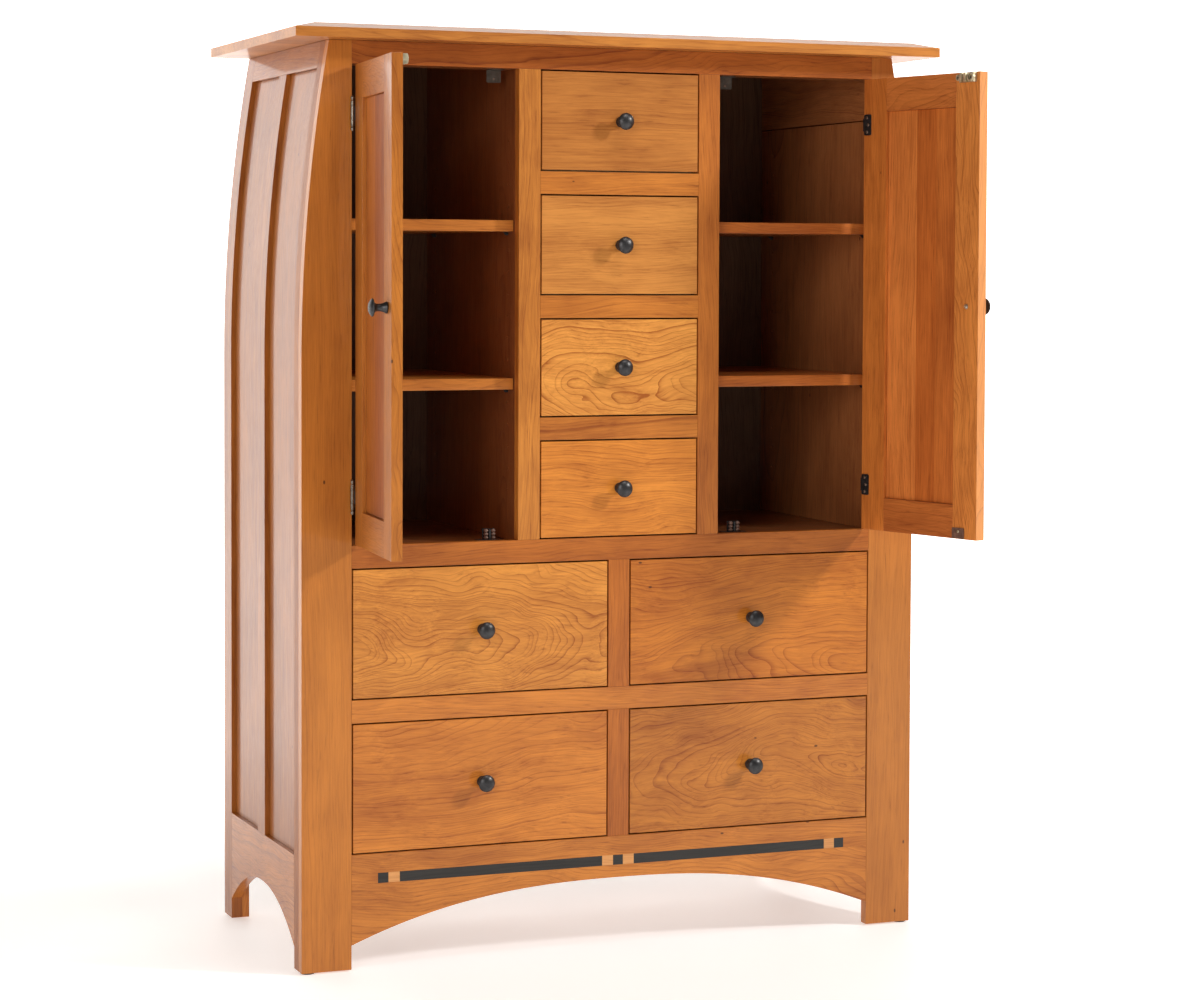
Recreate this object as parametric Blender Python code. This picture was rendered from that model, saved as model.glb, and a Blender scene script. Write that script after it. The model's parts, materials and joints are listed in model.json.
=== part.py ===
"""Cherry armoire with bowed sides: two doors, four centre drawers, four wide drawers.

Metres, +Z up, +X to the viewer's right, +Y towards the back.  The case is laid out with
its front face on y = 0 and its feet on z = 0.  The root empty then moves the whole model
so that the origin is under the middle of its bounding box.  Glued or fitted neighbours
keep the small gap FIT, and the drawers and doors keep the real gap REVEAL.
"""

import math

import bmesh
import bpy
from mathutils import Vector

# ---------------------------------------------------------------- driving dimensions
FIT = 0.0003                 # gap left between pieces that touch
REVEAL = 0.002               # visible gap round each drawer front and door

# case
DEPTH = 0.521                # front face to the back of the sides
UNDERSIDE = 1.604            # height of the top slab's underside
HALF_BASE = 0.586            # half width from the floor up to BOW_START
HALF_NECK = 0.537            # half width right under the top slab
BOW_START = 1.050            # height at which the sides start to lean in
SIDE_THICK = 0.0195
BOARD_FRONT = 0.020          # thickness of the front frame
BOARD_BACK = 0.508           # inner boards end here
PANEL_THICK = 0.018          # partitions, floors and shelves inside
BACK_THICK = 0.012

# top slab
TOP_HALF = 0.610
TOP_FRONT = -0.050
TOP_EDGE = 0.017
TOP_RISE = 0.010
TOP_BEVEL_END = 0.043
TOP_BEVEL_FRONT = 0.034

# front frame
POST_INNER = 0.4965          # half width between the two posts
DIVIDER_INNER = 0.1515       # half width of the centre drawer opening
DIVIDER_OUTER = 0.1920
LOW_DIVIDER_HALF = 0.020
APRON_TOP = 0.202
LOW_RAIL = (0.430, 0.470)
MID_RAIL = (0.698, 0.738)
TOP_RAIL_BOTTOM = 1.564
CENTRE_RAILS = ((0.913, 0.953), (1.128, 1.168), (1.346, 1.386))
FLOOR_DROP = 0.004           # the compartment floor lies this far below the mid rail

# arches
APRON_SPRING = 0.0445
APRON_CROWN = 0.1275
APRON_POWER = 2.43
SIDE_SPRING = 0.040
SIDE_CROWN = 0.115
SIDE_POWER = 2.15

# framed sides, as distances back from the front face
STILE_FRONT = 0.047
STILE_MIDDLE = (0.237, 0.284)
STILE_REAR = 0.469
SIDE_PANEL_Z = (0.200, 1.558)
SIDE_RECESS = 0.0085
SIDE_PANEL_THICK = 0.007

# shelves
SHELF_TOPS = (1.022, 1.300)
SHELF_THICK = 0.020
SHELF_FRONT = 0.024
SHELF_END_GAP = 0.001
SHELF_OUTER = 0.510

# doors
DOOR_THICK = 0.019
DOOR_BORDER = 0.060
DOOR_RECESS = 0.007
DOOR_PANEL_THICK = 0.007
PIN_X = 0.497
PIN_Y = -0.0047
LEFT_OPEN = 96.0             # degrees open in the pose that is modelled
RIGHT_OPEN = 105.0
HINGE_HEIGHTS = (0.822, 1.479)
HINGE_TALL = 0.038
HINGE_LEAF = 0.020
HINGE_METAL = 0.0008
BARREL_RADIUS = 0.0034
DOOR_KNOB_IN = 0.030         # knob centre from the door's free edge

# drawers
FRONT_THICK = 0.020
BOX_SIDE = 0.012
BOX_BOTTOM = 0.008
BOX_DEPTH = 0.465
BOX_CLEAR_SIDE = 0.006
BOX_CLEAR_TOP = 0.020
BOX_CLEAR_BOTTOM = 0.0015

# knob outline: (distance out from the wood, radius)
KNOB_LENGTH = 0.032
KNOB_OUTLINE = (
    (0.0000, 0.0098),
    (0.0030, 0.0096),
    (0.0080, 0.0075),
    (0.0140, 0.0063),
    (0.0190, 0.0066),
    (0.0215, 0.0090),
    (0.0235, 0.0151),
    (0.0265, 0.0130),
    (0.0300, 0.0078),
)
KNOB_SIDES = 20

# colours, roughness and metallic value of each finish
CHERRY = ((0.42, 0.17, 0.055), 0.38, 0.0)
CHERRY_PANEL = ((0.46, 0.19, 0.065), 0.36, 0.0)
DRAWER_CHERRY = ((0.52, 0.22, 0.075), 0.36, 0.0)
DRAWER_MAPLE = ((0.66, 0.46, 0.26), 0.45, 0.0)
BRONZE = ((0.022, 0.021, 0.022), 0.32, 0.85)


# ---------------------------------------------------------------- helpers
def clear_scene():
    for old in list(bpy.data.objects):
        bpy.data.objects.remove(old, do_unlink=True)


def finish(piece, look):
    """Give one piece its own plain material."""
    colour, roughness, metallic = look
    material = bpy.data.materials.new(piece.name + "_finish")
    material.use_nodes = True
    shader = material.node_tree.nodes["Principled BSDF"]
    shader.inputs["Base Color"].default_value = (*colour, 1.0)
    shader.inputs["Roughness"].default_value = roughness
    shader.inputs["Metallic"].default_value = metallic
    piece.data.materials.append(material)


def add_mesh(name, work, parent, look):
    """Turn a bmesh into a named object with outward faces."""
    bmesh.ops.recalc_face_normals(work, faces=work.faces)
    mesh = bpy.data.meshes.new(name)
    work.to_mesh(mesh)
    work.free()
    piece = bpy.data.objects.new(name, mesh)
    bpy.context.scene.collection.objects.link(piece)
    piece.parent = parent
    finish(piece, look)
    return piece


def add_empty(name, place, parent=None):
    empty = bpy.data.objects.new(name, None)
    empty.location = place
    empty.parent = parent
    bpy.context.scene.collection.objects.link(empty)
    return empty


def add_cells(name, parent, look, xs, ys, zs, filled):
    """One closed body from the filled cells of a grid, for boards, rebates and trays.

    xs, ys and zs are the grid's planes, and filled(x, y, z) says whether the cell
    around that point is solid.
    """
    work = bmesh.new()
    corners = {}

    def corner(i, j, k):
        if (i, j, k) not in corners:
            corners[i, j, k] = work.verts.new((xs[i], ys[j], zs[k]))
        return corners[i, j, k]

    def solid(i, j, k):
        if not (0 <= i < len(xs) - 1 and 0 <= j < len(ys) - 1 and 0 <= k < len(zs) - 1):
            return False
        middle = [(s[n] + s[n + 1]) / 2 for s, n in ((xs, i), (ys, j), (zs, k))]
        return filled(*middle)

    sides = (
        ((-1, 0, 0), ((0, 0, 0), (0, 0, 1), (0, 1, 1), (0, 1, 0))),
        ((1, 0, 0), ((1, 0, 0), (1, 1, 0), (1, 1, 1), (1, 0, 1))),
        ((0, -1, 0), ((0, 0, 0), (1, 0, 0), (1, 0, 1), (0, 0, 1))),
        ((0, 1, 0), ((0, 1, 0), (0, 1, 1), (1, 1, 1), (1, 1, 0))),
        ((0, 0, -1), ((0, 0, 0), (0, 1, 0), (1, 1, 0), (1, 0, 0))),
        ((0, 0, 1), ((0, 0, 1), (1, 0, 1), (1, 1, 1), (0, 1, 1))),
    )
    for i in range(len(xs) - 1):
        for j in range(len(ys) - 1):
            for k in range(len(zs) - 1):
                if not solid(i, j, k):
                    continue
                for (di, dj, dk), loop in sides:
                    if not solid(i + di, j + dj, k + dk):
                        work.faces.new([corner(i + a, j + b, k + c) for a, b, c in loop])
    return add_mesh(name, work, parent, look)


def add_box(name, parent, look, low, high):
    xs, ys, zs = zip(low, high)
    return add_cells(name, parent, look, xs, ys, zs, lambda x, y, z: True)


def add_prism(name, parent, look, outline, low, high):
    """Extrude an (x, z) outline from y = low to y = high."""
    work = bmesh.new()
    front = work.faces.new([work.verts.new((x, low, z)) for x, z in outline])
    moved = bmesh.ops.extrude_face_region(work, geom=[front])["geom"]
    verts = [v for v in moved if isinstance(v, bmesh.types.BMVert)]
    bmesh.ops.translate(work, verts=verts, vec=(0, high - low, 0))
    return add_mesh(name, work, parent, look)


def half_width(z):
    """Half width of the case at height z: straight, then one arc inwards."""
    lean = HALF_BASE - HALF_NECK
    rise = UNDERSIDE - BOW_START
    radius = (rise ** 2 + lean ** 2) / (2 * lean)
    above = max(0.0, z - BOW_START)
    return HALF_BASE - (radius - math.sqrt(radius ** 2 - above ** 2))


def bow_heights(low, high, steps=14):
    """Heights from low to high, close together where the side is bowed."""
    bow = [BOW_START + (UNDERSIDE - BOW_START) * n / steps for n in range(steps)]
    return [low] + [z for z in bow if low < z < high] + [high]


def arch_height(along, half, spring, crown, power):
    return crown - (crown - spring) * (abs(along) / half) ** power


# ---------------------------------------------------------------- the case
def build_top(root):
    """Slab with a wide shallow bevel on its front and ends, flush with the back."""
    work = bmesh.new()
    edge_z = UNDERSIDE + TOP_EDGE
    crown_z = edge_z + TOP_RISE
    rows = (
        (TOP_HALF, TOP_FRONT, UNDERSIDE),
        (TOP_HALF, TOP_FRONT, edge_z),
        (TOP_HALF - TOP_BEVEL_END, TOP_FRONT + TOP_BEVEL_FRONT, crown_z),
    )
    rings = []
    for half, front, z in rows:
        ring = ((-half, front), (half, front), (half, DEPTH), (-half, DEPTH))
        rings.append([work.verts.new((x, y, z)) for x, y in ring])
    for lower, upper in zip(rings, rings[1:]):
        for n in range(4):
            m = (n + 1) % 4
            work.faces.new((lower[n], lower[m], upper[m], upper[n]))
    work.faces.new(rings[0])
    work.faces.new(rings[-1])
    add_mesh("top_slab", work, root, CHERRY)


def build_posts(root):
    """Front posts: straight inner edge, outer edge following the bow."""
    heights = bow_heights(0.0, UNDERSIDE - FIT)
    for name, side in (("front_post_left", -1), ("front_post_right", 1)):
        outline = [(side * POST_INNER, heights[-1]), (side * POST_INNER, heights[0])]
        outline += [(side * half_width(z), z) for z in heights]
        add_prism(name, root, CHERRY, outline, 0.0, BOARD_FRONT)


def bowed_sheet(name, root, look, side, ys, heights, inset, thick, filled):
    """A board that follows the bowed side, made from the filled cells of a y-z grid."""
    work = bmesh.new()
    grid = {}
    for i, y in enumerate(ys):
        for k, z in enumerate(heights):
            grid[i, k] = work.verts.new((side * (half_width(z) - inset), y, z))
    kept = []
    for i in range(len(ys) - 1):
        for k in range(len(heights) - 1):
            if filled((ys[i] + ys[i + 1]) / 2, (heights[k] + heights[k + 1]) / 2):
                loop = (grid[i, k], grid[i + 1, k], grid[i + 1, k + 1], grid[i, k + 1])
                kept.append(work.faces.new(loop))
    bmesh.ops.delete(work, geom=[v for v in work.verts if not v.link_faces], context="VERTS")
    moved = bmesh.ops.extrude_face_region(work, geom=kept)["geom"]
    verts = [v for v in moved if isinstance(v, bmesh.types.BMVert)]
    bmesh.ops.translate(work, verts=verts, vec=(-side * thick, 0, 0))
    return add_mesh(name, work, root, look)


def cut_side_arch(frame, root, side):
    """Cut the arch between the front and rear legs of a side frame."""
    middle = (STILE_FRONT + STILE_REAR) / 2
    half = (STILE_REAR - STILE_FRONT) / 2
    steps = 20
    work = bmesh.new()
    outline = [(STILE_FRONT, -0.05), (STILE_REAR, -0.05)]
    for n in range(steps + 1):
        along = half * math.cos(math.pi * n / steps)
        z = arch_height(along, half, SIDE_SPRING, SIDE_CROWN, SIDE_POWER)
        outline.append((middle + along, z))
    near, far = side * (HALF_BASE - 0.05), side * (HALF_BASE + 0.05)
    face = work.faces.new([work.verts.new((near, y, z)) for y, z in outline])
    moved = bmesh.ops.extrude_face_region(work, geom=[face])["geom"]
    verts = [v for v in moved if isinstance(v, bmesh.types.BMVert)]
    bmesh.ops.translate(work, verts=verts, vec=(far - near, 0, 0))
    cutter = add_mesh(frame.name + "_arch_cutter", work, root, CHERRY)
    cutter.hide_render = True
    cutter.display_type = "WIRE"
    cut = frame.modifiers.new("arch", "BOOLEAN")
    cut.operation = "DIFFERENCE"
    cut.solver = "EXACT"
    cut.object = cutter


def build_sides(root):
    """Framed bowed sides: one frame and two flat panels on each side."""
    bays = ((STILE_FRONT, STILE_MIDDLE[0]), (STILE_MIDDLE[1], STILE_REAR))
    low, high = SIDE_PANEL_Z
    ys = [BOARD_FRONT + FIT, *bays[0], *bays[1], DEPTH]
    heights = sorted(set(bow_heights(0.0, UNDERSIDE - FIT)) | set(SIDE_PANEL_Z))

    def framed(y, z):
        return not (low < z < high and any(a < y < b for a, b in bays))

    for word, side in (("left", -1), ("right", 1)):
        frame = bowed_sheet(
            "side_frame_" + word, root, CHERRY, side, ys, heights, 0.0, SIDE_THICK, framed
        )
        cut_side_arch(frame, root, side)
        for place, (start, end) in zip(("front", "rear"), bays):
            bowed_sheet(
                f"side_panel_{word}_{place}", root, CHERRY_PANEL, side,
                [start + FIT, end - FIT], bow_heights(low + FIT, high - FIT),
                SIDE_RECESS, SIDE_PANEL_THICK, lambda y, z: True,
            )


def build_back(root):
    """Back panel between the bowed sides."""
    heights = bow_heights(APRON_TOP - PANEL_THICK, UNDERSIDE - FIT)
    right = [(half_width(z) - SIDE_THICK - FIT, z) for z in heights]
    outline = right + [(-x, z) for x, z in reversed(right)]
    start = BOARD_BACK + FIT
    add_prism("back_panel", root, CHERRY_PANEL, outline, start, start + BACK_THICK)


def add_rail_with_board(name, root, rail_half, board_half, rail, board):
    """A front rail with the board that is glued behind it, as one body."""
    xs = (-board_half, -rail_half, rail_half, board_half)
    ys = (0.0, BOARD_FRONT, BOARD_FRONT + FIT, BOARD_BACK)
    zs = sorted({*rail, *board})

    def filled(x, y, z):
        in_board = board[0] < z < board[1]
        if y < BOARD_FRONT:
            return abs(x) < rail_half and rail[0] < z < rail[1]
        if y < BOARD_FRONT + FIT:
            return abs(x) < rail_half and in_board
        return in_board

    add_cells(name, root, CHERRY, xs, ys, zs, filled)


def build_rails(root):
    between_posts = POST_INNER - FIT
    between_sides = HALF_BASE - SIDE_THICK - FIT
    between_dividers = DIVIDER_INNER - FIT
    between_partitions = DIVIDER_OUTER - PANEL_THICK - FIT
    add_box(
        "top_rail", root, CHERRY,
        (-between_posts, 0.0, TOP_RAIL_BOTTOM), (between_posts, BOARD_FRONT, UNDERSIDE - FIT),
    )
    floor_top = MID_RAIL[1] - FLOOR_DROP
    add_rail_with_board(
        "mid_rail", root, between_posts, between_sides,
        MID_RAIL, (floor_top - PANEL_THICK, floor_top),
    )
    add_rail_with_board(
        "lower_rail", root, between_posts, between_sides,
        LOW_RAIL, (LOW_RAIL[1] - PANEL_THICK, LOW_RAIL[1]),
    )
    for number, rail in enumerate(reversed(CENTRE_RAILS), 1):
        add_rail_with_board(
            f"centre_rail_{number}", root, between_dividers, between_partitions,
            rail, (rail[1] - PANEL_THICK, rail[1]),
        )
    add_box(
        "bottom_board", root, CHERRY,
        (-between_sides, BOARD_FRONT + FIT, APRON_TOP - PANEL_THICK),
        (between_sides, BOARD_BACK, APRON_TOP),
    )


def build_apron(root):
    """Bottom rail whose lower edge is one long arch between the posts."""
    half = POST_INNER - FIT
    steps = 32
    outline = [(half, APRON_TOP), (-half, APRON_TOP)]
    for n in range(steps + 1):
        along = -half + 2 * half * n / steps
        outline.append((along, arch_height(along, half, APRON_SPRING, APRON_CROWN, APRON_POWER)))
    add_prism("apron", root, CHERRY, outline, 0.0, BOARD_FRONT)


def add_divider(name, root, stile_x, board_x, stile_z, board_z):
    """An upright of the front frame with its partition behind it, as one body."""
    xs = sorted({*stile_x, *board_x})
    ys = (0.0, BOARD_FRONT, BOARD_FRONT + FIT, BOARD_BACK)
    zs = sorted({*stile_z, *board_z})

    def filled(x, y, z):
        in_stile = stile_x[0] < x < stile_x[1] and stile_z[0] < z < stile_z[1]
        in_board = board_x[0] < x < board_x[1] and board_z[0] < z < board_z[1]
        if y < BOARD_FRONT:
            return in_stile
        if y < BOARD_FRONT + FIT:
            return in_stile and in_board
        return in_board

    add_cells(name, root, CHERRY, xs, ys, zs, filled)


def build_dividers(root):
    stile_z = (MID_RAIL[1] + FIT, TOP_RAIL_BOTTOM - FIT)
    board_z = (MID_RAIL[1] - FLOOR_DROP + FIT, UNDERSIDE - FIT)
    inner = DIVIDER_OUTER - PANEL_THICK
    for word, side in (("left", -1), ("right", 1)):
        stile_x = sorted((side * DIVIDER_INNER, side * DIVIDER_OUTER))
        board_x = sorted((side * inner, side * DIVIDER_OUTER))
        add_divider("divider_" + word, root, stile_x, board_x, stile_z, board_z)
    rows = (
        ("divider_lower_1", APRON_TOP, LOW_RAIL[0], LOW_RAIL[1] - PANEL_THICK),
        ("divider_lower_2", LOW_RAIL[1], MID_RAIL[0], MID_RAIL[1] - FLOOR_DROP - PANEL_THICK),
    )
    wide = (-LOW_DIVIDER_HALF, LOW_DIVIDER_HALF)
    thin = (-PANEL_THICK / 2, PANEL_THICK / 2)
    for name, bottom, stile_top, board_top in rows:
        add_divider(
            name, root, wide, thin,
            (bottom + FIT, stile_top - FIT), (bottom + FIT, board_top - FIT),
        )


def build_shelves(root):
    near = DIVIDER_OUTER + SHELF_END_GAP
    for word, side in (("left", -1), ("right", 1)):
        for place, top in zip(("lower", "upper"), SHELF_TOPS):
            x_low, x_high = sorted((side * near, side * SHELF_OUTER))
            add_box(
                f"shelf_{word}_{place}", root, CHERRY_PANEL,
                (x_low, SHELF_FRONT, top - SHELF_THICK), (x_high, BOARD_BACK - FIT, top),
            )


# ---------------------------------------------------------------- knobs and drawers
def add_knob(name, parent, centre):
    """A turned mushroom knob pointing along -Y, its base on the point given."""
    work = bmesh.new()
    profile = [(0.0, 0.0), *KNOB_OUTLINE, (KNOB_LENGTH, 0.0)]
    verts = [work.verts.new((radius, -out, 0.0)) for out, radius in profile]
    edges = [work.edges.new(pair) for pair in zip(verts, verts[1:])]
    bmesh.ops.spin(
        work, geom=verts + edges, cent=(0, 0, 0), axis=(0, 1, 0),
        angle=math.tau, steps=KNOB_SIDES, use_merge=True,
    )
    bmesh.ops.remove_doubles(work, verts=work.verts, dist=0.00001)
    bmesh.ops.translate(work, verts=work.verts, vec=Vector(centre))
    knob = add_mesh(name, work, parent, BRONZE)
    knob.data.shade_smooth()
    knob.data.set_sharp_from_angle(angle=math.radians(40))


def build_drawer(root, name, x_low, x_high, z_low, z_high):
    """Slab front, tray behind it and a knob, for the opening given."""
    slide = add_empty("slide_" + name, (0, 0, 0), root)
    add_box(
        f"{name}_front", slide, DRAWER_CHERRY,
        (x_low + REVEAL, 0.0, z_low + REVEAL), (x_high - REVEAL, FRONT_THICK, z_high - REVEAL),
    )
    left, right = x_low + BOX_CLEAR_SIDE, x_high - BOX_CLEAR_SIDE
    bottom, top = z_low + BOX_CLEAR_BOTTOM, z_high - BOX_CLEAR_TOP
    start = FRONT_THICK + FIT
    end = start + BOX_DEPTH
    xs = (left, left + BOX_SIDE, right - BOX_SIDE, right)
    ys = (start, start + BOX_SIDE, end - BOX_SIDE, end)
    zs = (bottom, bottom + BOX_BOTTOM, top)

    def filled(x, y, z):
        return z < zs[1] or not (xs[1] < x < xs[2] and ys[1] < y < ys[2])

    add_cells(f"{name}_box", slide, DRAWER_MAPLE, xs, ys, zs, filled)
    add_knob(f"{name}_knob", slide, ((x_low + x_high) / 2, -FIT, (z_low + z_high) / 2))


def build_drawers(root):
    floors = [MID_RAIL[1]] + [rail[1] for rail in CENTRE_RAILS]
    ceilings = [rail[0] for rail in CENTRE_RAILS] + [TOP_RAIL_BOTTOM]
    centre = list(zip(floors, ceilings))
    for number, (low, high) in enumerate(reversed(centre), 1):
        build_drawer(root, f"centre_drawer_{number}", -DIVIDER_INNER, DIVIDER_INNER, low, high)
    rows = (("upper", LOW_RAIL[1], MID_RAIL[0]), ("lower", APRON_TOP, LOW_RAIL[0]))
    bays = (("left", -POST_INNER, -LOW_DIVIDER_HALF), ("right", LOW_DIVIDER_HALF, POST_INNER))
    for row, low, high in rows:
        for word, x_low, x_high in bays:
            build_drawer(root, f"wide_drawer_{word}_{row}", x_low, x_high, low, high)


# ---------------------------------------------------------------- doors
def build_hinge(name, pin, side, height):
    """Door half of a butt hinge: barrel, strip in the gap and leaf on the inner face.

    The outline is drawn in plan, around the pin, for a closed door.
    """
    door_edge = PIN_X - POST_INNER + REVEAL
    strip = (door_edge - FIT - HINGE_METAL, door_edge - FIT)
    inner_face = DOOR_THICK - PIN_Y
    leaf = (inner_face + FIT, inner_face + FIT + 2 * HINGE_METAL)
    start = math.asin(strip[1] / BARREL_RADIUS)
    stop = math.asin(strip[0] / BARREL_RADIUS)
    steps = 14
    outline = []
    for n in range(steps + 1):
        angle = start + (math.tau + stop - start) * n / steps
        outline.append((BARREL_RADIUS * math.sin(angle), BARREL_RADIUS * math.cos(angle)))
    outline += [
        (strip[0], leaf[1]),
        (door_edge + HINGE_LEAF, leaf[1]),
        (door_edge + HINGE_LEAF, leaf[0]),
        (strip[1], leaf[0]),
    ]
    work = bmesh.new()
    low = height - HINGE_TALL / 2
    face = work.faces.new([work.verts.new((-side * x, y, low)) for x, y in outline])
    moved = bmesh.ops.extrude_face_region(work, geom=[face])["geom"]
    verts = [v for v in moved if isinstance(v, bmesh.types.BMVert)]
    bmesh.ops.translate(work, verts=verts, vec=(0, 0, HINGE_TALL))
    add_mesh(name, work, pin, BRONZE)


def build_door(root, word, side, angle):
    """Frame-and-panel door modelled closed, then turned about its hinge pin."""
    pin = add_empty("pin_door_" + word, (side * PIN_X, PIN_Y, 0), root)
    hinge_x = -side * (PIN_X - POST_INNER + REVEAL)
    free_x = -side * (PIN_X - DIVIDER_OUTER - REVEAL)
    xs = sorted((hinge_x, hinge_x - side * DOOR_BORDER, free_x + side * DOOR_BORDER, free_x))
    low, high = MID_RAIL[1] + REVEAL, TOP_RAIL_BOTTOM - REVEAL
    zs = (low, low + DOOR_BORDER, high - DOOR_BORDER, high)
    face, inside = -PIN_Y, DOOR_THICK - PIN_Y

    def framed(x, y, z):
        return not (xs[1] < x < xs[2] and zs[1] < z < zs[2])

    add_cells(f"door_{word}_frame", pin, CHERRY, xs, (face, inside), zs, framed)
    add_box(
        f"door_{word}_panel", pin, CHERRY_PANEL,
        (xs[1] + FIT, face + DOOR_RECESS, zs[1] + FIT),
        (xs[2] - FIT, face + DOOR_RECESS + DOOR_PANEL_THICK, zs[2] - FIT),
    )
    knob_x = free_x + side * DOOR_KNOB_IN
    add_knob(f"door_{word}_knob", pin, (knob_x, face - FIT, (low + high) / 2))
    for place, height in zip(("lower", "upper"), HINGE_HEIGHTS):
        build_hinge(f"hinge_{word}_{place}", pin, side, height)
    pin.rotation_euler = (0, 0, side * math.radians(angle))


def build_doors(root):
    build_door(root, "left", -1, LEFT_OPEN)
    build_door(root, "right", 1, RIGHT_OPEN)


# ---------------------------------------------------------------- the whole
def stand_on_middle(root):
    """Move the root so that the origin is under the middle of the bounding box."""
    bpy.context.view_layer.update()
    solids = [o for o in bpy.data.objects if o.type == "MESH" and not o.hide_render]
    points = [o.matrix_world @ v.co for o in solids for v in o.data.vertices]
    ys = [p.y for p in points]
    root.location.y = -(min(ys) + max(ys)) / 2


def build():
    clear_scene()
    root = add_empty("armoire", (0, 0, 0))
    build_top(root)
    build_posts(root)
    build_sides(root)
    build_back(root)
    build_rails(root)
    build_apron(root)
    build_dividers(root)
    build_shelves(root)
    build_drawers(root)
    build_doors(root)
    stand_on_middle(root)


build()
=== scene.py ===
"""Looks of the cherry armoire: every board, hinge, catch, knob and inlay as its own piece.

Case pieces are built in case coordinates: metres, x from the middle, y back from the
front face, z up from the floor.  Door pieces are built round their hinge pin with the
door closed, then placed by the pin's matrix, so their grain moves with them.
"""

import json
import math

import bmesh
import bpy
from mathutils import Matrix, Vector


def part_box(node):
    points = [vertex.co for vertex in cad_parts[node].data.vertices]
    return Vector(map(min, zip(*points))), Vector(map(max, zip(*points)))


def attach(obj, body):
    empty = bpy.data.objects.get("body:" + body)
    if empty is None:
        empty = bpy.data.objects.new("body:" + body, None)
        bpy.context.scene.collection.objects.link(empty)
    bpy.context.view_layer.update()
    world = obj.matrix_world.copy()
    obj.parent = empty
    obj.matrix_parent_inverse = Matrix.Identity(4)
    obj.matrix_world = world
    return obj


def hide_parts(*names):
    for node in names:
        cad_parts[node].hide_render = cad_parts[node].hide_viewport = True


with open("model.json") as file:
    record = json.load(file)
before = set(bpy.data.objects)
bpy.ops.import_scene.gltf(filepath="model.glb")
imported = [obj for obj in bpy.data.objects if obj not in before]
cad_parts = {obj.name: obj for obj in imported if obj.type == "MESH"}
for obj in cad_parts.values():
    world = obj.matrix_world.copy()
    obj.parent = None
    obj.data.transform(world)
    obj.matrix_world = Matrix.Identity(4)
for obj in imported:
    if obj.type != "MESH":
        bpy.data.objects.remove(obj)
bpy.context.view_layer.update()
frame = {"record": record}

# ---- sizes, metres
POST_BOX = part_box("front_post_right")
SLAB_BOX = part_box("top_slab")
FRONT = POST_BOX[0][1]                       # front face of the case in the row frame
DEPTH = SLAB_BOX[1][1] - FRONT
UNDERSIDE = SLAB_BOX[0][2]
FIT = 0.0003                                 # gap left between neighbours
REVEAL = 0.002                               # gap round drawer fronts and doors
GLIDE = 0.0026                               # legs stand this far off the floor

HALF_BASE = POST_BOX[1][0]
HALF_NECK = 0.537
BOW_START = 1.050
SIDE_THICK = 0.0195
BOARD_FRONT = 0.020
BOARD_BACK = 0.508
BOARD = 0.018
POST_INNER = POST_BOX[0][0]
DIVIDER_INNER = 0.1515
DIVIDER_OUTER = 0.1920
LOW_DIVIDER_HALF = 0.020
APRON_TOP = 0.202
LOW_RAIL = (0.430, 0.470)
MID_RAIL = (0.698, 0.738)
TOP_RAIL_BOTTOM = 1.564
CENTRE_RAILS = ((0.913, 0.953), (1.128, 1.168), (1.346, 1.386))
FLOOR_TOP = MID_RAIL[1] - 0.004

STILE_FRONT = 0.047
STILE_MIDDLE = (0.237, 0.284)
STILE_REAR = 0.469
SIDE_PANEL_Z = (0.200, 1.558)
LINER_FACE = 0.512
LINER_SPLIT = 1.490
SHELF_TOPS = (1.022, 1.300)
SHELF_THICK = 0.020

PIN_ROWS = (0.055, 0.455)                    # depth of the two columns of shelf pins
PIN_HOLES, PIN_HOLE_LOW, PIN_HOLE_STEP = 17, 0.824, 0.0385
PIN_HOLE_RADIUS, PIN_HOLE_DEPTH = 0.0025, 0.008

# arches: spring and crown height of the lower edge, and the power of its curve
SIDE_ARCH = (0.040, 0.115, 2.15)
APRON_ARCH = (0.0445, 0.1275, 2.43)
INLAY_Z = (0.150, 0.168)                     # band of inlay across the apron
INLAY_DEPTH = 0.003
BACKING_DEPTH = 0.0335                       # from a side's face to the leg backing's
BACKING_TOP = 0.183

DRAWER_WALL = 0.012
PIN_X = 0.497                                # hinge pins, on the closed doors
PIN_Y = -0.0047
KNOB_INSET = 0.030                           # door knob from the door's free edge
DOOR_THICK = 0.019
DOOR_BORDER = 0.060
DOOR_LOW, DOOR_HIGH = MID_RAIL[1] + REVEAL, TOP_RAIL_BOTTOM - REVEAL
HINGE_HEIGHTS = (0.822, 1.479)
SIDES = (("left", -1), ("right", 1))

# ---- colours (linear)
CHERRY_LIGHT = (0.635, 0.224, 0.035)
CHERRY_DARK = (0.260, 0.062, 0.009)
GUM = (0.035, 0.012, 0.005)
# painted highlight: the pale colour laid on a board's edge where the light catches it
EDGE_HIGHLIGHT = (0.91, 0.44, 0.19)


def deeper(amount):
    """Tint of a board darker than its tone (amount under 1), or paler: blue changes most."""
    return amount, amount ** 1.3, amount ** 2


PLAIN = deeper(1.0)
# painted shade: the bowed sides' boards are darkened, standing in for the weaker light on the sides
SIDE_PAINTED_SHADE = deeper(0.69)
COAT = 0.45                                  # weight of the clear finish
RINGS_PER_METRE = 190.0
# painted highlight on a lit edge: its border's width, and how far it pales the board
HIGHLIGHT_FADE, HIGHLIGHT_SHARE = 0.0008, 0.40           # width of its border, and how far it covers


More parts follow.
